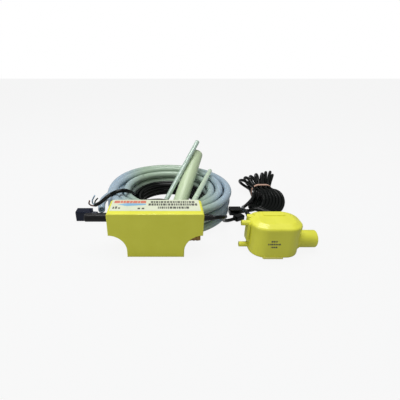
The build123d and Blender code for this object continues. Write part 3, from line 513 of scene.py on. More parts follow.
NODE_FINISHES: dict[Finish, tuple[str, ...]] = {
    YELLOW_SHELL: ("pump_casing", "rear_cover", "reservoir_tank", "reservoir_lid", "lid_clip"),
    YELLOW_FOOT: ("mounting_foot",),
    LABEL_FILM: ("top_label",),
    SCREW_STEEL: ("cover_screws", "board_screws", "post_clip"),
    COPPER: ("coil_winding",),
    BOBBIN_NYLON: ("coil_bobbin", "armature_tube", "inlet_fitting"),
    YOKE_STEEL: ("magnet_yoke",),
    BRASS: ("outlet_fitting", "pump_cylinder", "socket_pins"),
    IRON: ("armature", "plunger"),
    BLACK_RUBBER: (
        "inlet_grommet", "outlet_grommet", "outlet_valve", "outlet_seal", "lid_seal",
        "sensor_gland", "power_socket", "reservoir_gland",
    ),
    BOARD_GREEN: ("control_board",),
    COMPONENT_BLUE: ("relay", "suppression_capacitor"),
    COMPONENT_BLACK: ("triac", "thermal_cutout"),
    TERMINAL_GREY: ("terminal_blocks",),
    FLOAT_FOAM: ("float",),
    MAGNET_FERRITE: ("float_magnet",),
    POST_WHITE: ("sensor_post", "filter_screen"),
    CORD_BLACK: ("sensor_plug", "sensor_socket"),
    PLUG_BLACK: ("power_plug",),
    WIRE_BROWN: ("brown_wire",),
    WIRE_BLUE: ("blue_wire",),
    WIRE_EARTH: ("earth_wire",),
    TIE_BEIGE: ("hank_tie",),
}


# ------------------------------------------------------------------ surfaces


class Surfaces:
    """Meshes worked out as whole arrays.

    A rod's end rings keep a share of its radius; a pipe's give up a share of its wall on each side.
    """

    ROD_END: ClassVar[float] = 0.86
    PIPE_END: ClassVar[float] = 0.12

    @staticmethod
    def piece(
        name: str, corners: np.ndarray, faces: list[list[int]], finish: Finish, slot: str, rides: bool = True
    ) -> bpy.types.Object:
        """Makes a closed mesh object, with its faces pointing out.

        The signed volume is the sum over triangles of a dot (b cross c) / 6; if it is negative,
        every face is turned round.

        Args:
            name: The piece's name.
            corners: Its points, (n, 3), in metres.
            faces: Its faces, as lists of point numbers.
            finish: Its finish.
            slot: Not used.

        Returns:
            The object.
        """
        triangles = np.array([(f[0], f[k], f[k + 1]) for f in faces for k in range(1, len(f) - 1)])
        a, b, c = (corners[triangles[:, k]] for k in range(3))
        if np.einsum("ij,ij->i", a, np.cross(b, c)).sum() < 0:
            faces = [face[::-1] for face in faces]
        mesh = bpy.data.meshes.new(name)
        mesh.from_pydata(corners.tolist(), [], faces)
        mesh.materials.append(finish.material())
        mesh.validate()
        made = bpy.data.objects.new(name, mesh)
        bpy.context.scene.collection.objects.link(made)
        if rides:
            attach(made, BODY)
        log.info("%s: %d points, %d faces", name, len(corners), len(faces))
        return made

    @staticmethod
    def grid_faces(rows: int, columns: int, closed: bool) -> list[list[int]]:
        """Quads between neighbouring points of a grid whose rows are rings.

        Args:
            rows: How many rings.
            columns: How many points in each ring.
            closed: Whether the last ring joins the first.

        Returns:
            The faces.
        """
        last = rows if closed else rows - 1
        row, column = np.meshgrid(np.arange(last), np.arange(columns), indexing="ij")
        down, across = (row + 1) % rows, (column + 1) % columns
        this, that = row * columns, down * columns
        quads = np.stack((this + column, this + across, that + across, that + column), axis=-1)
        return quads.reshape(-1, 4).tolist()

    @staticmethod
    def rings(path: np.ndarray, radii: np.ndarray, sides: int, reference: Point) -> np.ndarray:
        """Rings of points round a path.

        At each station the ring's point at angle a is the path's point plus radius times
        (cos a times the side direction plus sin a times the upper direction), where the side
        direction is the tangent cross the reference, and the upper one is side cross tangent.

        Args:
            path: The stations, (n, 3).
            radii: The ring's radius at each station.
            sides: How many points in each ring.
            reference: A direction that the path never runs along.

        Returns:
            The points, (n, sides, 3).
        """
        tangent = np.gradient(path, axis=0)
        tangent /= np.linalg.norm(tangent, axis=1, keepdims=True)
        side = np.cross(tangent, np.array(reference))
        side /= np.linalg.norm(side, axis=1, keepdims=True)
        upper = np.cross(side, tangent)
        angle = np.linspace(0.0, 2.0 * math.pi, sides, endpoint=False)
        turned = (
            np.cos(angle)[None, :, None] * side[:, None, :] + np.sin(angle)[None, :, None] * upper[:, None, :]
        )
        return path[:, None, :] + radii[:, None, None] * turned

    @classmethod
    def rod(
        cls, path: np.ndarray, radius: float, sides: int, reference: Point
    ) -> tuple[np.ndarray, list[list[int]]]:
        """A solid round rod along a path, its ends closed flat with a small bevel.

        Args:
            path: The stations, (n, 3).
            radius: The rod's radius.
            sides: How many points in each ring.
            reference: A direction that the path never runs along.

        Returns:
            Its points and faces.
        """
        radii = np.full(len(path), radius)
        radii[[0, -1]] *= cls.ROD_END
        points = cls.rings(path, radii, sides, reference).reshape(-1, 3)
        faces = cls.grid_faces(len(path), sides, closed=False)
        first = len(points) - sides
        faces.append(list(range(sides))[::-1])
        faces.append(list(range(first, first + sides)))
        return points, faces

    @classmethod
    def pipe(
        cls, path: np.ndarray, radius: float, bore: float, sides: int, reference: Point
    ) -> tuple[np.ndarray, list[list[int]]]:
        """A hollow pipe along a path: out along the outside, back along the bore, closed at both ends.

        Args:
            path: The stations, (n, 3).
            radius: The outer radius.
            bore: The inner radius.
            sides: How many points in each ring.
            reference: A direction that the path never runs along.

        Returns:
            Its points and faces.
        """
        outer = np.full(len(path), radius)
        inner = np.full(len(path), bore)
        bevel = cls.PIPE_END * (radius - bore)
        outer[[0, -1]] -= bevel
        inner[[0, -1]] += bevel
        there = cls.rings(path, outer, sides, reference)
        back = cls.rings(path, inner, sides, reference)[::-1]
        points = np.concatenate((there, back)).reshape(-1, 3)
        return points, cls.grid_faces(2 * len(path), sides, closed=True)

    @staticmethod
    def slabs(boxes: np.ndarray) -> tuple[np.ndarray, list[list[int]]]:
        """Flat boxes, each from its lowest to its highest corner.

        A box's eight points are every choice of x, y and z from its two corners.

        Args:
            boxes: (n, 2, 3), the two corners of each box.

        Returns:
            Their points and faces.
        """
        pick = np.array([[x, y, z] for z in (0, 1) for y in (0, 1) for x in (0, 1)])
        points = np.take_along_axis(boxes, pick[None, :, :].repeat(len(boxes), 0), axis=1)
        sides = np.array([[0, 2, 3, 1], [4, 5, 7, 6], [0, 1, 5, 4], [2, 6, 7, 3], [0, 4, 6, 2], [1, 3, 7, 5]])
        faces = sides[None] + len(pick) * np.arange(len(boxes))[:, None, None]
        return points.reshape(-1, 3), faces.reshape(-1, 4).tolist()


# ------------------------------------------------------------------ cords


@dataclass
class Route:
    """The turning points of one cord, and the facts of the cord that follows them.

    The length is in metres, and 0 stands for the line's own length. Ease is how far along the line a corner
    is spread, and 0 leaves the turning points as they are.
    """

    name: str
    points: np.ndarray
    diameter: float
    stands_for: tuple[str, ...]
    finish: Finish
    slot: str
    bore: float = 0.0
    far_end: FarEnd = FarEnd.BARE
    give: Give = Give.MEDIUM
    lay: Lay = Lay.LOOSE
    pieces: tuple[str, ...] = ()
    sides: int = 20
    smoothness: int = 6
    reference: Point = (0.0, 0.0, 1.0)
    length: float = 0.0
    ease: float = 0.0
    QUADRATIC: ClassVar[int] = 3
    EASE_STEP: ClassVar[float] = 5.0
    EASE_REACH: ClassVar[float] = 3.0
    FLOOR_GAP: ClassVar[float] = 0.1

    def controls(self) -> np.ndarray:
        """The spline's control points: the turning points, with their corners rounded where ease says so.

        The straight lines between the turning points are cut at even steps. Each cut point then moves
        to the mean of its neighbours along the line, weighted by exp(-t * t / (2 * ease * ease)), where
        t is the distance along the line. Beyond an end, the line is turned half round about that end,
        so the ends stay in place. No point is lower than where a cord that lies down has its middle.

        Returns:
            The control points, (n, 3), in millimetres.
        """
        if not self.ease:
            return self.points
        steps = np.linalg.norm(np.diff(self.points, axis=0), axis=1)
        along = np.concatenate(([0.0], np.cumsum(steps)))
        even = np.linspace(0.0, along[-1], round(along[-1] / self.EASE_STEP) + 1)
        cuts = np.column_stack([np.interp(even, along, axis) for axis in self.points.T])
        reach = math.ceil(self.EASE_REACH * self.ease / self.EASE_STEP)
        before = 2.0 * cuts[0] - cuts[reach:0:-1]
        after = 2.0 * cuts[-1] - cuts[-2 : -reach - 2 : -1]
        longer = np.concatenate((before, cuts, after))
        weights = np.exp(-0.5 * (np.arange(-reach, reach + 1) * self.EASE_STEP / self.ease) ** 2)
        weights /= weights.sum()
        eased = np.column_stack([np.convolve(axis, weights, mode="valid") for axis in longer.T])
        eased[:, 2] = np.maximum(eased[:, 2], self.diameter / 2.0 + self.FLOOR_GAP)
        return eased

    def line(self) -> np.ndarray:
        """The smooth line that a quadratic NURBS spline draws between its control points.

        Returns:
            The line's points, (n, 3), in metres.
        """
        curve = bpy.data.curves.new(self.name + "_line", "CURVE")
        curve.dimensions = "3D"
        curve.resolution_u = self.smoothness
        spline = curve.splines.new("NURBS")
        controls = self.controls()
        spline.points.add(len(controls) - 1)
        weighted = np.column_stack((controls * MM, np.ones(len(controls))))
        spline.points.foreach_set("co", weighted.ravel())
        spline.order_u = self.QUADRATIC
        spline.use_endpoint_u = True
        carrier = bpy.data.objects.new(self.name + "_line", curve)
        mesh = bpy.data.meshes.new_from_object(carrier)
        flat = np.empty(3 * len(mesh.vertices))
        mesh.vertices.foreach_get("co", flat)
        bpy.data.objects.remove(carrier)
        bpy.data.curves.remove(curve)
        bpy.data.meshes.remove(mesh)
        return flat.reshape(-1, 3)

    def build(self) -> bpy.types.Object:
        """Returns:
            The cord's object.
        """
        path = self.line()
        radius = self.diameter * MM / 2.0
        if self.bore:
            shape = Surfaces.pipe(path, radius, self.bore * MM / 2.0, self.sides, self.reference)
        else:
            shape = Surfaces.rod(path, radius, self.sides, self.reference)
        made = Surfaces.piece(self.name, *shape, self.finish, self.slot)
        made.data.shade_smooth()
        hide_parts(*self.stands_for)
        return made


@dataclass(frozen=True)
class Winding:
    """Turns of a cord laid beside and over each other round the coil's upright axis.

    Each slot is the radius and height of one turn; the cord climbs from each to the next over
    the last part of the turn. Lengths are in millimetres, angles in turns. The cord wanders by
    two sines in its radius and one in its height, at so many waves a turn, the last two by a
    lesser share.
    """

    slots: tuple[tuple[float, float], ...]
    start: float
    stop_short: float = 0.0
    per_turn: int = 18
    clockwise: bool = False
    wander: float = 0.5
    climb: float = 0.3
    seed: int = 3
    WAVES: ClassVar[tuple[float, float, float]] = (1.31, 2.17, 1.73)
    LESSER: ClassVar[float] = 0.6
    CORNER_CUT: ClassVar[float] = 0.75

    def points(self) -> np.ndarray:
        """The winding's control points.

        At t turns the angle is start plus t, and radius and height are those of the turn's slot,
        eased to the next slot's by 3 s^2 - 2 s^3 over the last part of the turn. A spline cuts the
        corners between its control points, so the radius is divided by a power of cos(pi / n),
        where n is the number of points in a turn.

        Returns:
            The points, (n, 3), in millimetres.
        """
        end = len(self.slots) - self.stop_short
        turn = np.linspace(0.0, end, round(end * self.per_turn) + 1)
        table = np.array(self.slots + (self.slots[-1],))
        slot = np.minimum(np.floor(turn).astype(int), len(self.slots) - 1)
        part = np.clip((turn - slot - (1.0 - self.climb)) / self.climb, 0.0, 1.0)
        ease = (part * part * (3.0 - 2.0 * part))[:, None]
        radius, height = (table[slot] * (1.0 - ease) + table[slot + 1] * ease).T
        shift = np.random.default_rng(self.seed).uniform(0.0, 2.0 * math.pi, len(self.WAVES))
        wide, quick, upright = (
            np.sin(2.0 * math.pi * rate * turn + late) for rate, late in zip(self.WAVES, shift)
        )
        radius = radius + self.wander * (wide + self.LESSER * quick)
        height = height + self.LESSER * self.wander * upright
        way = -1.0 if self.clockwise else 1.0
        angle = 2.0 * math.pi * (self.start + way * turn)
        stretch = 1.0 / math.cos(math.pi / self.per_turn) ** self.CORNER_CUT
        return np.column_stack(
            (
                COIL_CENTRE[0] + radius * stretch * np.cos(angle),
                COIL_CENTRE[1] + radius * stretch * np.sin(angle),
                height,
            )
        )


@dataclass
class HoseSet:
    """The clear discharge hose, the milky inlet sleeve and the two thin vent tubes.

    The sleeve's cut length is in metres, everything else in millimetres.
    """

    hose_diameter: float = 10.0
    hose_bore: float = 6.0
    sleeve_diameter: float = 20.0
    sleeve_bore: float = 17.0
    sleeve_cut: float = 0.12
    tube_diameter: float = 6.5
    tube_bore: float = 4.5
    coil: tuple[tuple[float, float], ...] = (
        (80.5, 5.3), (81.0, 17.5), (81.5, 30.2), (70.5, 30.6), (70.0, 18.0),
        (69.4, 5.6), (58.4, 5.6), (58.2, 16.6), (59.2, 27.6),
    )

    def build(self) -> None:
        """Makes the hoses."""
        self.discharge_hose().build()
        self.inlet_sleeve().build()
        self.vent_tube().build()
        self.spare_tube().build()

    def discharge_hose(self) -> Route:
        """The clear hose: its free end lies by the block's left, and the rest is coiled.

        Returns:
            Its route.
        """
        tail = np.array(
            [
                (-78.0, 83.0, 5.2), (-83.5, 106.0, 5.2), (-78.0, 129.0, 5.2),
                (-64.0, 148.0, 5.2), (-48.0, 161.0, 5.3),
            ]
        )
        winding = Winding(self.coil, start=0.365, clockwise=True)
        return Route(
            "discharge_hose",
            np.concatenate((tail, winding.points())),
            self.hose_diameter,
            ("discharge_hose_coil", "discharge_hose_tail"),
            CLEAR_HOSE,
            "clear_hose",
            bore=self.hose_bore,
            lay=Lay.COILED,
            give=Give.STIFF,
        )

    def inlet_sleeve(self) -> Route:
        """The thick sleeve that stands in the coil and leans over its far side.

        Returns:
            Its route.
        """
        return Route(
            "milky_inlet_sleeve",
            np.array([(26.7, 73.3, 9.6), (42.4, 119.2, 34.6), (58.1, 165.0, 59.6)]),
            self.sleeve_diameter,
            ("inlet_sleeve",),
            MILKY_SLEEVE,
            "milky_sleeve",
            bore=self.sleeve_bore,
            give=Give.STIFF,
            length=self.sleeve_cut,
            sides=48,
            smoothness=24,
        )

    def vent_tube(self) -> Route:
        """The thin tube that stands in the coil and leans over its far side.

        Returns:
            Its route.
        """
        return Route(
            "leaning_vent_tube",
            np.array([(1.0, 72.5, 4.2), (30.0, 117.75, 42.2), (59.0, 163.0, 80.2)]),
            self.tube_diameter,
            ("vent_tube",),
            THIN_TUBE,
            "clear_hose",
            bore=self.tube_bore,
            give=Give.STIFF,
            sides=28,
            smoothness=20,
            reference=(1.0, 0.0, 0.0),
        )

    def spare_tube(self) -> Route:
        """The second thin tube, which lies across the coil.

        Returns:
            Its route.
        """
        return Route(
            "resting_vent_tube",
            np.array([(42.5, 34.0, 39.6), (61.0, 90.0, 40.4), (77.5, 141.0, 41.0)]),
            self.tube_diameter,
            ("spare_tube",),
            PALE_TUBE,
            "clear_hose",
            bore=self.tube_bore,
            give=Give.STIFF,
            sides=28,
            smoothness=20,
        )


@dataclass
class MainsCord:
    """The mains cord: its plug lies behind the block, its coil inside the hose, and three wires end it."""

    diameter: float = 5.0
    seed: int = 8
    coil: tuple[tuple[float, float], ...] = (
        (42.0, 16.9), (42.0, 12.2), (42.0, 7.4), (42.2, 2.7),
        (47.6, 2.7), (47.8, 7.6), (47.8, 12.6), (47.6, 17.6),
    )

    def build(self) -> None:
        """Makes the cord."""
        run = np.array(
            [
                (-80.0, 66.0, 7.0), (-73.0, 66.0, 7.0), (-62.5, 60.5, 9.5), (-55.0, 49.0, 18.5),
                (-47.5, 39.5, 29.0), (-36.5, 34.5, 37.5), (-22.5, 34.0, 40.6), (-9.0, 37.5, 40.9),
                (3.0, 43.5, 39.6), (13.0, 50.5, 35.0), (21.5, 57.0, 26.0),
            ]
        )
        winding = Winding(self.coil, start=-0.17, stop_short=0.31, wander=0.3, seed=self.seed)
        tail = np.array(
            [
                (-31.5, 92.5, 22.5), (-34.5, 83.5, 31.5), (-39.0, 76.0, 38.6), (-46.0, 70.5, 41.2),
                (-54.0, 67.0, 40.4), (-61.5, 66.5, 36.5), (-68.0, 68.5, 30.0), (-74.0, 72.0, 22.5),
                (-79.5, 76.0, 16.8), (-86.0, 80.0, 13.6),
            ]
        )
        Route(
            "mains_cord",
            np.concatenate((run, winding.points(), tail)),
            self.diameter,
            ("power_cord_run", "power_cord_coil", "power_cord_tail"),
            CORD_BLACK,
            "cord_black",
            lay=Lay.COILED,
            pieces=("power_plug", "brown_wire", "blue_wire", "earth_wire"),
            sides=16,
            smoothness=4,
            ease=9.0,
        ).build()


@dataclass(frozen=True)
class FarFold:
    """One loop's far end: its middle, the way it points and how far it leans over, in degrees."""

    middle: Point
    heading: float
    lean: float


@dataclass
class SensorLeads:
    """The pump's short sensor lead and the reservoir's longer one, which is put up in a hank."""

    diameter: float = 4.5
    waist: Point = (155.5, 128.0, 0.0)
    slot_pitch: float = 3.15
    tie_reach: float = 4.0
    fold_radius: float = 15.0
    top_rows: tuple[float, float] = (19.8, 15.3)
    low_rows: tuple[float, float] = (3.0, 7.5)
    far_folds: tuple[FarFold, ...] = (
        FarFold((141.0, 157.5, 12.0), -44.0, -44.0),
        FarFold((147.0, 157.5, 14.0), -31.0, -54.0),
        FarFold((154.0, 158.0, 14.5), -18.0, -58.0),
        FarFold((160.0, 160.0, 15.0), -6.0, -72.0),
        FarFold((166.0, 160.0, 15.5), 6.0, -84.0),
        FarFold((172.0, 165.0, 16.0), 12.0, -88.0),
        FarFold((177.5, 166.0, 16.5), 18.0, -94.0),
        FarFold((177.0, 157.0, 15.0), 26.0, -98.0),
    )

    def build(self) -> None:
        """Makes both leads."""
        self.sensor_lead().build()
        self.probe_lead().build()

    def sensor_lead(self) -> Route:
        """The lead from the block's right end to its connector.

        Returns:
            Its route.
        """
        return Route(
            "block_sensor_lead",
            np.array(
                [
                    (61.0, 0.0, 39.5), (71.5, 0.0, 39.5), (78.0, 9.5, 35.5), (80.0, 24.0, 27.0),
                    (81.5, 38.0, 16.0), (85.0, 49.5, 7.0), (91.5, 55.2, 3.5), (100.0, 60.0, 3.5),
                ]
            ),
            self.diameter,
            ("sensor_lead",),
            CORD_BLACK,
            "cord_black",
            far_end=FarEnd.CONNECTOR,
            give=Give.LIMP,
            pieces=("sensor_socket",),
            sides=16,
            smoothness=6,
            ease=5.0,
        )

    def far_fold(self, fold: FarFold) -> np.ndarray:
        """The turn at a loop's far end: half a ring whose plane leans over.

        The point at angle a is the middle plus radius times (cos a along the side plus sin a along
        the heading). The side is the level direction across the heading, tilted up by the lean.

        Args:
            fold: The loop's far end.

        Returns:
            Five control points, from the out side to the back side.
        """
        turned, lean = math.radians(fold.heading), math.radians(fold.lean)
        along = np.array([math.sin(turned), math.cos(turned), 0.0])
        across = np.array([math.cos(turned), -math.sin(turned), 0.0])
        side = math.cos(lean) * across + math.sin(lean) * np.array([0.0, 0.0, 1.0])
        angle = np.radians(np.array([180.0, 140.0, 90.0, 40.0, 0.0]))[:, None]
        return np.array(fold.middle) + self.fold_radius * (np.cos(angle) * side + np.sin(angle) * along)

    def near_fold(self, part: float) -> np.ndarray:
        """The turn at a loop's near end: over to the right, down, and back to the left underneath.

        Each control point lies between the one of the first, inner fold and the one of the last,
        outer fold, by the fold's part of the way.

        Args:
            part: 0 for the inner fold, 1 for the outer one.

        Returns:
            Seven control points.
        """
        inner = np.array(
            [
                (148.5, 118.0, 20.5), (151.0, 109.0, 19.5), (151.5, 99.0, 15.5), (147.5, 87.5, 10.0),
                (138.0, 79.5, 6.0), (126.5, 89.0, 4.6), (135.0, 107.0, 4.0),
            ]
        )
        outer = np.array(
            [
                (170.0, 121.0, 20.5), (178.0, 111.0, 18.5), (178.0, 95.0, 12.5), (170.0, 79.5, 7.0),
                (157.5, 71.0, 4.6), (144.5, 79.0, 4.0), (148.5, 100.0, 3.6),
            ]
        )
        return inner + part * (outer - inner)

    def waist_slots(self, place: int, heading: float, rows: tuple[float, float]) -> np.ndarray:
        """Two points through the tie, at one place in the bundle.

        Args:
            place: Which strand, from the left.
            heading: 1 towards the far end, -1 towards the near end.
            rows: The heights of the even and of the odd strands.

        Returns:
            The points in the order that the cord passes them.
        """
        across = (place - (len(self.far_folds) - 1) / 2.0) * self.slot_pitch
        middle = np.array(self.waist) + np.array([across, 0.0, rows[place % 2]])
        reach = self.tie_reach * np.array([-1.0, 1.0])[:, None]
        return middle + reach * np.array([0.0, heading, 0.0])

    def probe_lead(self) -> Route:
        """The reservoir's lead: over to the hank, its loops, and out to the connector.

        Returns:
            Its route.
        """
        parts = [
            np.array(
                [
                    (105.0, 17.3, 33.5), (105.0, 26.8, 33.5), (103.6, 38.5, 29.5), (108.5, 54.5, 23.5),
                    (117.0, 73.0, 16.0), (125.0, 89.0, 11.5), (134.0, 103.0, 10.5), (141.0, 114.0, 12.0),
                ]
            )
        ]
        last = len(self.far_folds) - 1
        for place, fold in enumerate(self.far_folds):
            parts.append(self.waist_slots(place, 1.0, self.top_rows))
            parts.append(self.far_fold(fold))
            parts.append(self.waist_slots(place, -1.0, self.low_rows))
            if place < last:
                parts.append(self.near_fold(place / (last - 1))[::-1])
        tail = np.array(
            [
                (156.0, 104.0, 5.0), (148.0, 93.0, 7.0), (138.5, 85.5, 5.5),
                (128.0, 81.0, 4.5), (118.5, 81.0, 4.5),
            ]
        )
        return Route(
            "reservoir_lead",
            np.concatenate((*parts, tail)),
            self.diameter,
            ("probe_lead_run", "probe_lead_hank", "probe_lead_tail"),
            CORD_BLACK,
            "cord_black",
            far_end=FarEnd.CONNECTOR,
            give=Give.LIMP,
            lay=Lay.COILED,
            pieces=("sensor_plug", "hank_tie"),
            sides=16,
            smoothness=4,
            ease=6.5,
        )


# ------------------------------------------------------------------ springs


@dataclass(frozen=True)
class PumpSpring:
    """A compression spring along X, wound to fill its node's room; in the pump one end stays and the other
    moves with a body.

    The wire's diameter is in millimetres.
    """

    node: str
    body: str
    wire: float
    turns: float
    fixed_left: bool
    sides: int = 10
    per_turn: int = 36

    def build(self) -> bpy.types.Object:
        """Winds the spring in the room of its node, from the room's left end to its right.

        The line at t turns is (left + t * pitch, y + r cos(2 pi t), z + r sin(2 pi t)), where y and z
        are those of the spring's middle and r is the radius of the wire's line.

        Returns:
            The object.
        """
        low, high = (np.array(corner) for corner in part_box(self.node))
        middle, thick = (low + high) / 2.0, self.wire * MM
        radius = (high[1] - low[1] - thick) / 2.0
        turn = np.linspace(0.0, self.turns, round(self.turns * self.per_turn) + 1)
        left, right = low[0] + thick / 2.0, high[0] - thick / 2.0
        path = np.column_stack(
            (
                left + (right - left) * turn / self.turns,
                middle[1] + radius * np.cos(2.0 * np.pi * turn),
                middle[2] + radius * np.sin(2.0 * np.pi * turn),
            )
        )
        shape = Surfaces.rod(path, thick / 2.0, self.sides, (1.0, 0.0, 0.0))
        made = Surfaces.piece(self.node + "_wire", *shape, SPRING_STEEL, "spring_steel", rides=False)
        made.data.shade_smooth()
        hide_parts(self.node)
        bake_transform(made)
        return made


PUMP_SPRINGS = (
    PumpSpring("buffer_spring", "piston", 0.6, 4.0, True),
    PumpSpring("return_spring", "piston", 0.6, 4.0, False),
    PumpSpring("valve_spring", "outlet_valve", 0.4, 3.0, False),
)


# ------------------------------------------------------------------ print


@dataclass(frozen=True)
class DashRow:
    """A row of printed dashes: its two ends, and the two heights or depths between which it lies."""

    left: float
    right: float
    low: float
    high: float


@dataclass
class PrintedMarks:
    """Generic printed bars and dashes on the block's label and on the reservoir's flat front.

    Marks stand proud of their surface by the ink and reach into it by the sunk part. A dash is given
    as its usual length and the gap after it. Everything is in millimetres.
    """

    ink: float = 0.03
    sunk: float = 0.02
    bar_dash: tuple[float, float] = (4.2, 0.5)
    label_dash: tuple[float, float] = (2.1, 0.75)
    panel_dash: tuple[float, float] = (1.3, 0.5)
    wide_bar: DashRow = DashRow(-45.0, -9.5, 7.2, 13.2)
    label_rows: tuple[DashRow, ...] = (
        DashRow(-5.4, 43.5, 7.9, 12.0),
        DashRow(-7.6, 46.0, 1.4, 6.4),
        DashRow(2.6, 36.5, -5.7, -0.9),
    )
    small_marks: tuple[DashRow, ...] = (
        DashRow(-45.0, -43.4, -5.8, -1.4),
        DashRow(-42.4, -40.4, -5.8, -0.6),
        DashRow(-39.2, -37.0, -5.8, -3.0),
        DashRow(-18.6, -16.0, -6.8, -3.6),
        DashRow(-14.2, -11.6, -6.8, -3.6),
    )
    panel_rows: tuple[DashRow, ...] = (
        DashRow(121.5, 130.0, 20.7, 22.6),
        DashRow(118.5, 133.0, 17.2, 19.1),
        DashRow(122.0, 129.0, 13.6, 15.5),
    )
    stripe_outline: tuple[tuple[float, float], ...] = (
        (-41.0, 4.2), (-31.0, 7.2), (-10.4, 6.0), (-10.4, 2.8), (-31.0, 0.4),
    )
    SEED: ClassVar[int] = 12
    MOST_DASHES: ClassVar[int] = 80
    DASH_SPREAD: ClassVar[tuple[float, float]] = (0.45, 1.5)

    def build(self) -> None:
        """Makes every group of marks."""
        chance = np.random.default_rng(self.SEED)
        bar = self.dashes((self.wide_bar,), chance, *self.bar_dash)
        self.on_label("label_wide_bar", bar, PRINT_SALMON)
        self.stripe()
        marks = np.array([(mark.left, mark.right, mark.low, mark.high) for mark in self.small_marks])
        self.on_label("label_small_marks", marks, PRINT_GREY)
        rows = self.dashes(self.label_rows, chance, *self.label_dash)
        self.on_label("label_dashes", rows, PRINT_GREY)
        self.panel_dashes()

    def dashes(
        self, rows: Sequence[DashRow], chance: np.random.Generator, dash: float, gap: float
    ) -> np.ndarray:
        """Dashes of uneven length along some rows.

        Each dash's length is drawn about the usual one, and each starts where the last ended plus
        a gap, so the starts are running sums.

        Args:
            rows: The rows.
            chance: The seeded source of lengths.
            dash: The usual dash.
            gap: The gap between dashes.

        Returns:
            (n, 4), each dash's left, right, low and high.
        """
        found = []
        for row in rows:
            lengths = chance.uniform(*self.DASH_SPREAD, self.MOST_DASHES) * dash
            starts = row.left + np.cumsum(lengths + gap) - lengths[0] - gap
            ends = starts + np.roll(lengths, -1)
            keep = ends < row.right
            full = np.ones(keep.sum())
            found.append(np.column_stack((starts[keep], ends[keep], row.low * full, row.high * full)))
        return np.concatenate(found)

    def ink_levels(self) -> tuple[float, float]:
        """The heights of the underside and the top of a mark on the label."""
        label_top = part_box("top_label")[1][2] / MM
        return label_top - self.sunk, label_top + self.ink

    def on_label(self, name: str, marks: np.ndarray, finish: Finish) -> None:
        """Lays flat marks on the label.

        Args:
            name: The piece's name.
            marks: (n, 4), each mark's left, right, front and back, in millimetres.
            finish: The ink.
        """
        left, right, front, back = marks.T
        bottom, top = self.ink_levels()
        full = np.ones(len(marks))
        low = np.column_stack((left, front, bottom * full))
        high = np.column_stack((right, back, top * full))
        boxes = np.stack((low, high), axis=1) * MM
        Surfaces.piece(name, *Surfaces.slabs(boxes), finish, "label_film")

    def stripe(self) -> None:
        """The blue stripe, which tapers to its left: its outline at two heights, joined by side faces."""
        count = len(self.stripe_outline)
        levels = np.repeat(self.ink_levels(), count)
        corners = np.column_stack((np.tile(self.stripe_outline, (2, 1)), levels)) * MM
        sides = [[k, (k + 1) % count, (k + 1) % count + count, k + count] for k in range(count)]
        faces = [list(range(count))[::-1], list(range(count, 2 * count)), *sides]
        Surfaces.piece("label_stripe", corners, faces, PRINT_BLUE, "label_film")

    def panel_dashes(self) -> None:
        """Three short rows of tiny dashes on the reservoir's flat front."""
        chance = np.random.default_rng(self.SEED + 1)
        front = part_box("reservoir_tank")[0][1] / MM
        left, right, bottom, top = self.dashes(self.panel_rows, chance, *self.panel_dash).T
        full = np.ones(len(left))
        low = np.column_stack((left, (front - self.ink) * full, bottom))
        high = np.column_stack((right, (front + self.sunk) * full, top))
        boxes = np.stack((low, high), axis=1) * MM
        Surfaces.piece("panel_dashes", *Surfaces.slabs(boxes), PRINT_GREY, "yellow_shell")


# ------------------------------------------------------------------ studio


@dataclass(frozen=True)
class Lamp:
    """A square area lamp: where it is, the point that it faces, its side and its power in watts."""

    name: str
    place: Point
    aim: Point
    size: float
    power: float

    def build(self) -> None:
        """Hangs the lamp."""
        data = bpy.data.lights.new(self.name, "AREA")
        data.size = self.size
        data.energy = self.power
        made = bpy.data.objects.new(self.name, data)
        made.location = self.place
        way = np.array(self.place) - np.array(self.aim)
        level = math.hypot(way[0], way[1])
        made.rotation_euler = (math.atan2(level, way[2]), 0.0, math.atan2(way[0], -way[1]))
        bpy.context.scene.collection.objects.link(made)


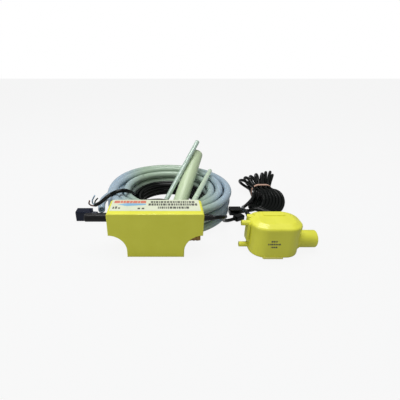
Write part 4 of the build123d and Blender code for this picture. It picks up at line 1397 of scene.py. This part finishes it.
@dataclass
class Studio:
    """The camera, the pale floor and the soft lights.

    Places and sizes are in metres, the lens and its sensor in millimetres and the tilt in degrees.
    """

    eye: Point = (0.0111, -0.2765, 0.1948)
    tilt: float = 64.1
    lens: float = 26.37
    sensor: float = 36.0
    shift: float = 0.085
    near: float = 0.01
    floor_size: float = 6.0
    floor_colour: Colour = (0.34, 0.35, 0.36)
    floor_seen: float = 0.90
    floor_shine: float = 0.25
    world_light: float = 0.27
    lamps: tuple[Lamp, ...] = (
        Lamp("overhead_softbox", (0.0, 0.12, 0.90), (0.05, 0.08, 0.0), 0.55, 6.6),
        Lamp("front_fill", (0.15, -0.95, 0.40), (0.05, 0.0, 0.02), 0.5, 1.0),
        Lamp("left_fill", (-0.85, -0.25, 0.35), (0.10, 0.05, 0.02), 0.4, 2.8),
    )

    def camera(self) -> None:
        """Puts the camera in place."""
        data = bpy.data.cameras.new("camera")
        data.lens = self.lens
        data.sensor_width = self.sensor
        data.shift_x = self.shift
        data.clip_start = self.near
        placed = bpy.data.objects.new("camera", data)
        placed.location = self.eye
        placed.rotation_euler = (math.radians(self.tilt), 0.0, 0.0)
        bpy.context.scene.collection.objects.link(placed)
        bpy.context.scene.camera = placed

    @staticmethod
    def seen(shade: ShadeTree) -> tuple[bpy.types.NodeSocket, bpy.types.Node]:
        """Tells rays that come from the eye, straight or through clear pieces, from the others.

        Args:
            shade: The tree that it is for.

        Returns:
            A value that is 1 for those rays, and the Light Path node that it comes from.
        """
        light = shade.add("ShaderNodeLightPath")
        straight, through = light.outputs["Is Camera Ray"], light.outputs["Is Transmission Ray"]
        return shade.maths("MAXIMUM", straight, through), light

    def floor_paint(self) -> bpy.types.Material:
        """A grey that looks nearly white to the eye and pale to shiny things, and keeps a faint shadow.

        Returns:
            The floor's material.
        """
        paint = bpy.data.materials.new("floor_paint")
        paint.use_nodes = True
        shade = ShadeTree(paint.node_tree)
        shade.tree.nodes.clear()
        plain = shade.add("ShaderNodeBsdfDiffuse")
        plain.inputs["Color"].default_value = (*self.floor_colour, 1.0)
        glow = shade.add("ShaderNodeEmission")
        seen, light = self.seen(shade)
        shiny = shade.maths("MULTIPLY", light.outputs["Is Glossy Ray"], self.floor_shine)
        mask = shade.maths("MAXIMUM", shade.maths("MULTIPLY", seen, self.floor_seen), shiny)
        blend = shade.add("ShaderNodeMixShader")
        out = shade.add("ShaderNodeOutputMaterial")
        shade.join(mask, blend.inputs[0])
        shade.join(plain.outputs[0], blend.inputs[1])
        shade.join(glow.outputs[0], blend.inputs[2])
        shade.join(blend.outputs[0], out.inputs["Surface"])
        return paint

    def floor(self) -> None:
        """Lays the floor."""
        half = self.floor_size / 2.0
        corners = [(-half, -half, 0.0), (half, -half, 0.0), (half, half, 0.0), (-half, half, 0.0)]
        mesh = bpy.data.meshes.new("floor")
        mesh.from_pydata(corners, [], [(0, 1, 2, 3)])
        mesh.materials.append(self.floor_paint())
        made = bpy.data.objects.new("floor", mesh)
        bpy.context.scene.collection.objects.link(made)

    def world(self) -> None:
        """Gives the world a soft light, and white where it is seen."""
        world = bpy.data.worlds.new("studio")
        world.use_nodes = True
        bpy.context.scene.world = world
        shade = ShadeTree(world.node_tree)
        background = world.node_tree.nodes["Background"]
        background.inputs["Color"].default_value = (1.0, 1.0, 1.0, 1.0)
        seen, _ = self.seen(shade)
        strength = shade.add("ShaderNodeMapRange")
        strength.inputs["To Min"].default_value = self.world_light
        strength.inputs["To Max"].default_value = 1.0
        shade.join(seen, strength.inputs["Value"])
        shade.join(strength.outputs[0], background.inputs["Strength"])

    def build(self) -> None:
        """Makes the studio."""
        self.camera()
        self.floor()
        self.world()
        for lamp in self.lamps:
            lamp.build()
        bpy.context.scene.view_settings.view_transform = "Standard"


def dress_nodes() -> None:
    """Gives every CAD node that shows its finish."""
    for finish, names in NODE_FINISHES.items():
        for name in names:
            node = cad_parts[name]
            node.data.materials.clear()
            node.data.materials.append(finish.material())
            log.info("%s: finished in %s", name, finish.name)


def main() -> None:
    """Builds the studio, the cords and the finishes, in that order."""
    logging.basicConfig(level=logging.INFO, format="%(name)s: %(message)s")
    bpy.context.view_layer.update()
    Studio().build()
    MainsCord().build()
    SensorLeads().build()
    HoseSet().build()
    for spring in PUMP_SPRINGS:
        spring.build()
    dress_nodes()
    PrintedMarks().build()


if __name__ == "__main__":
    main()
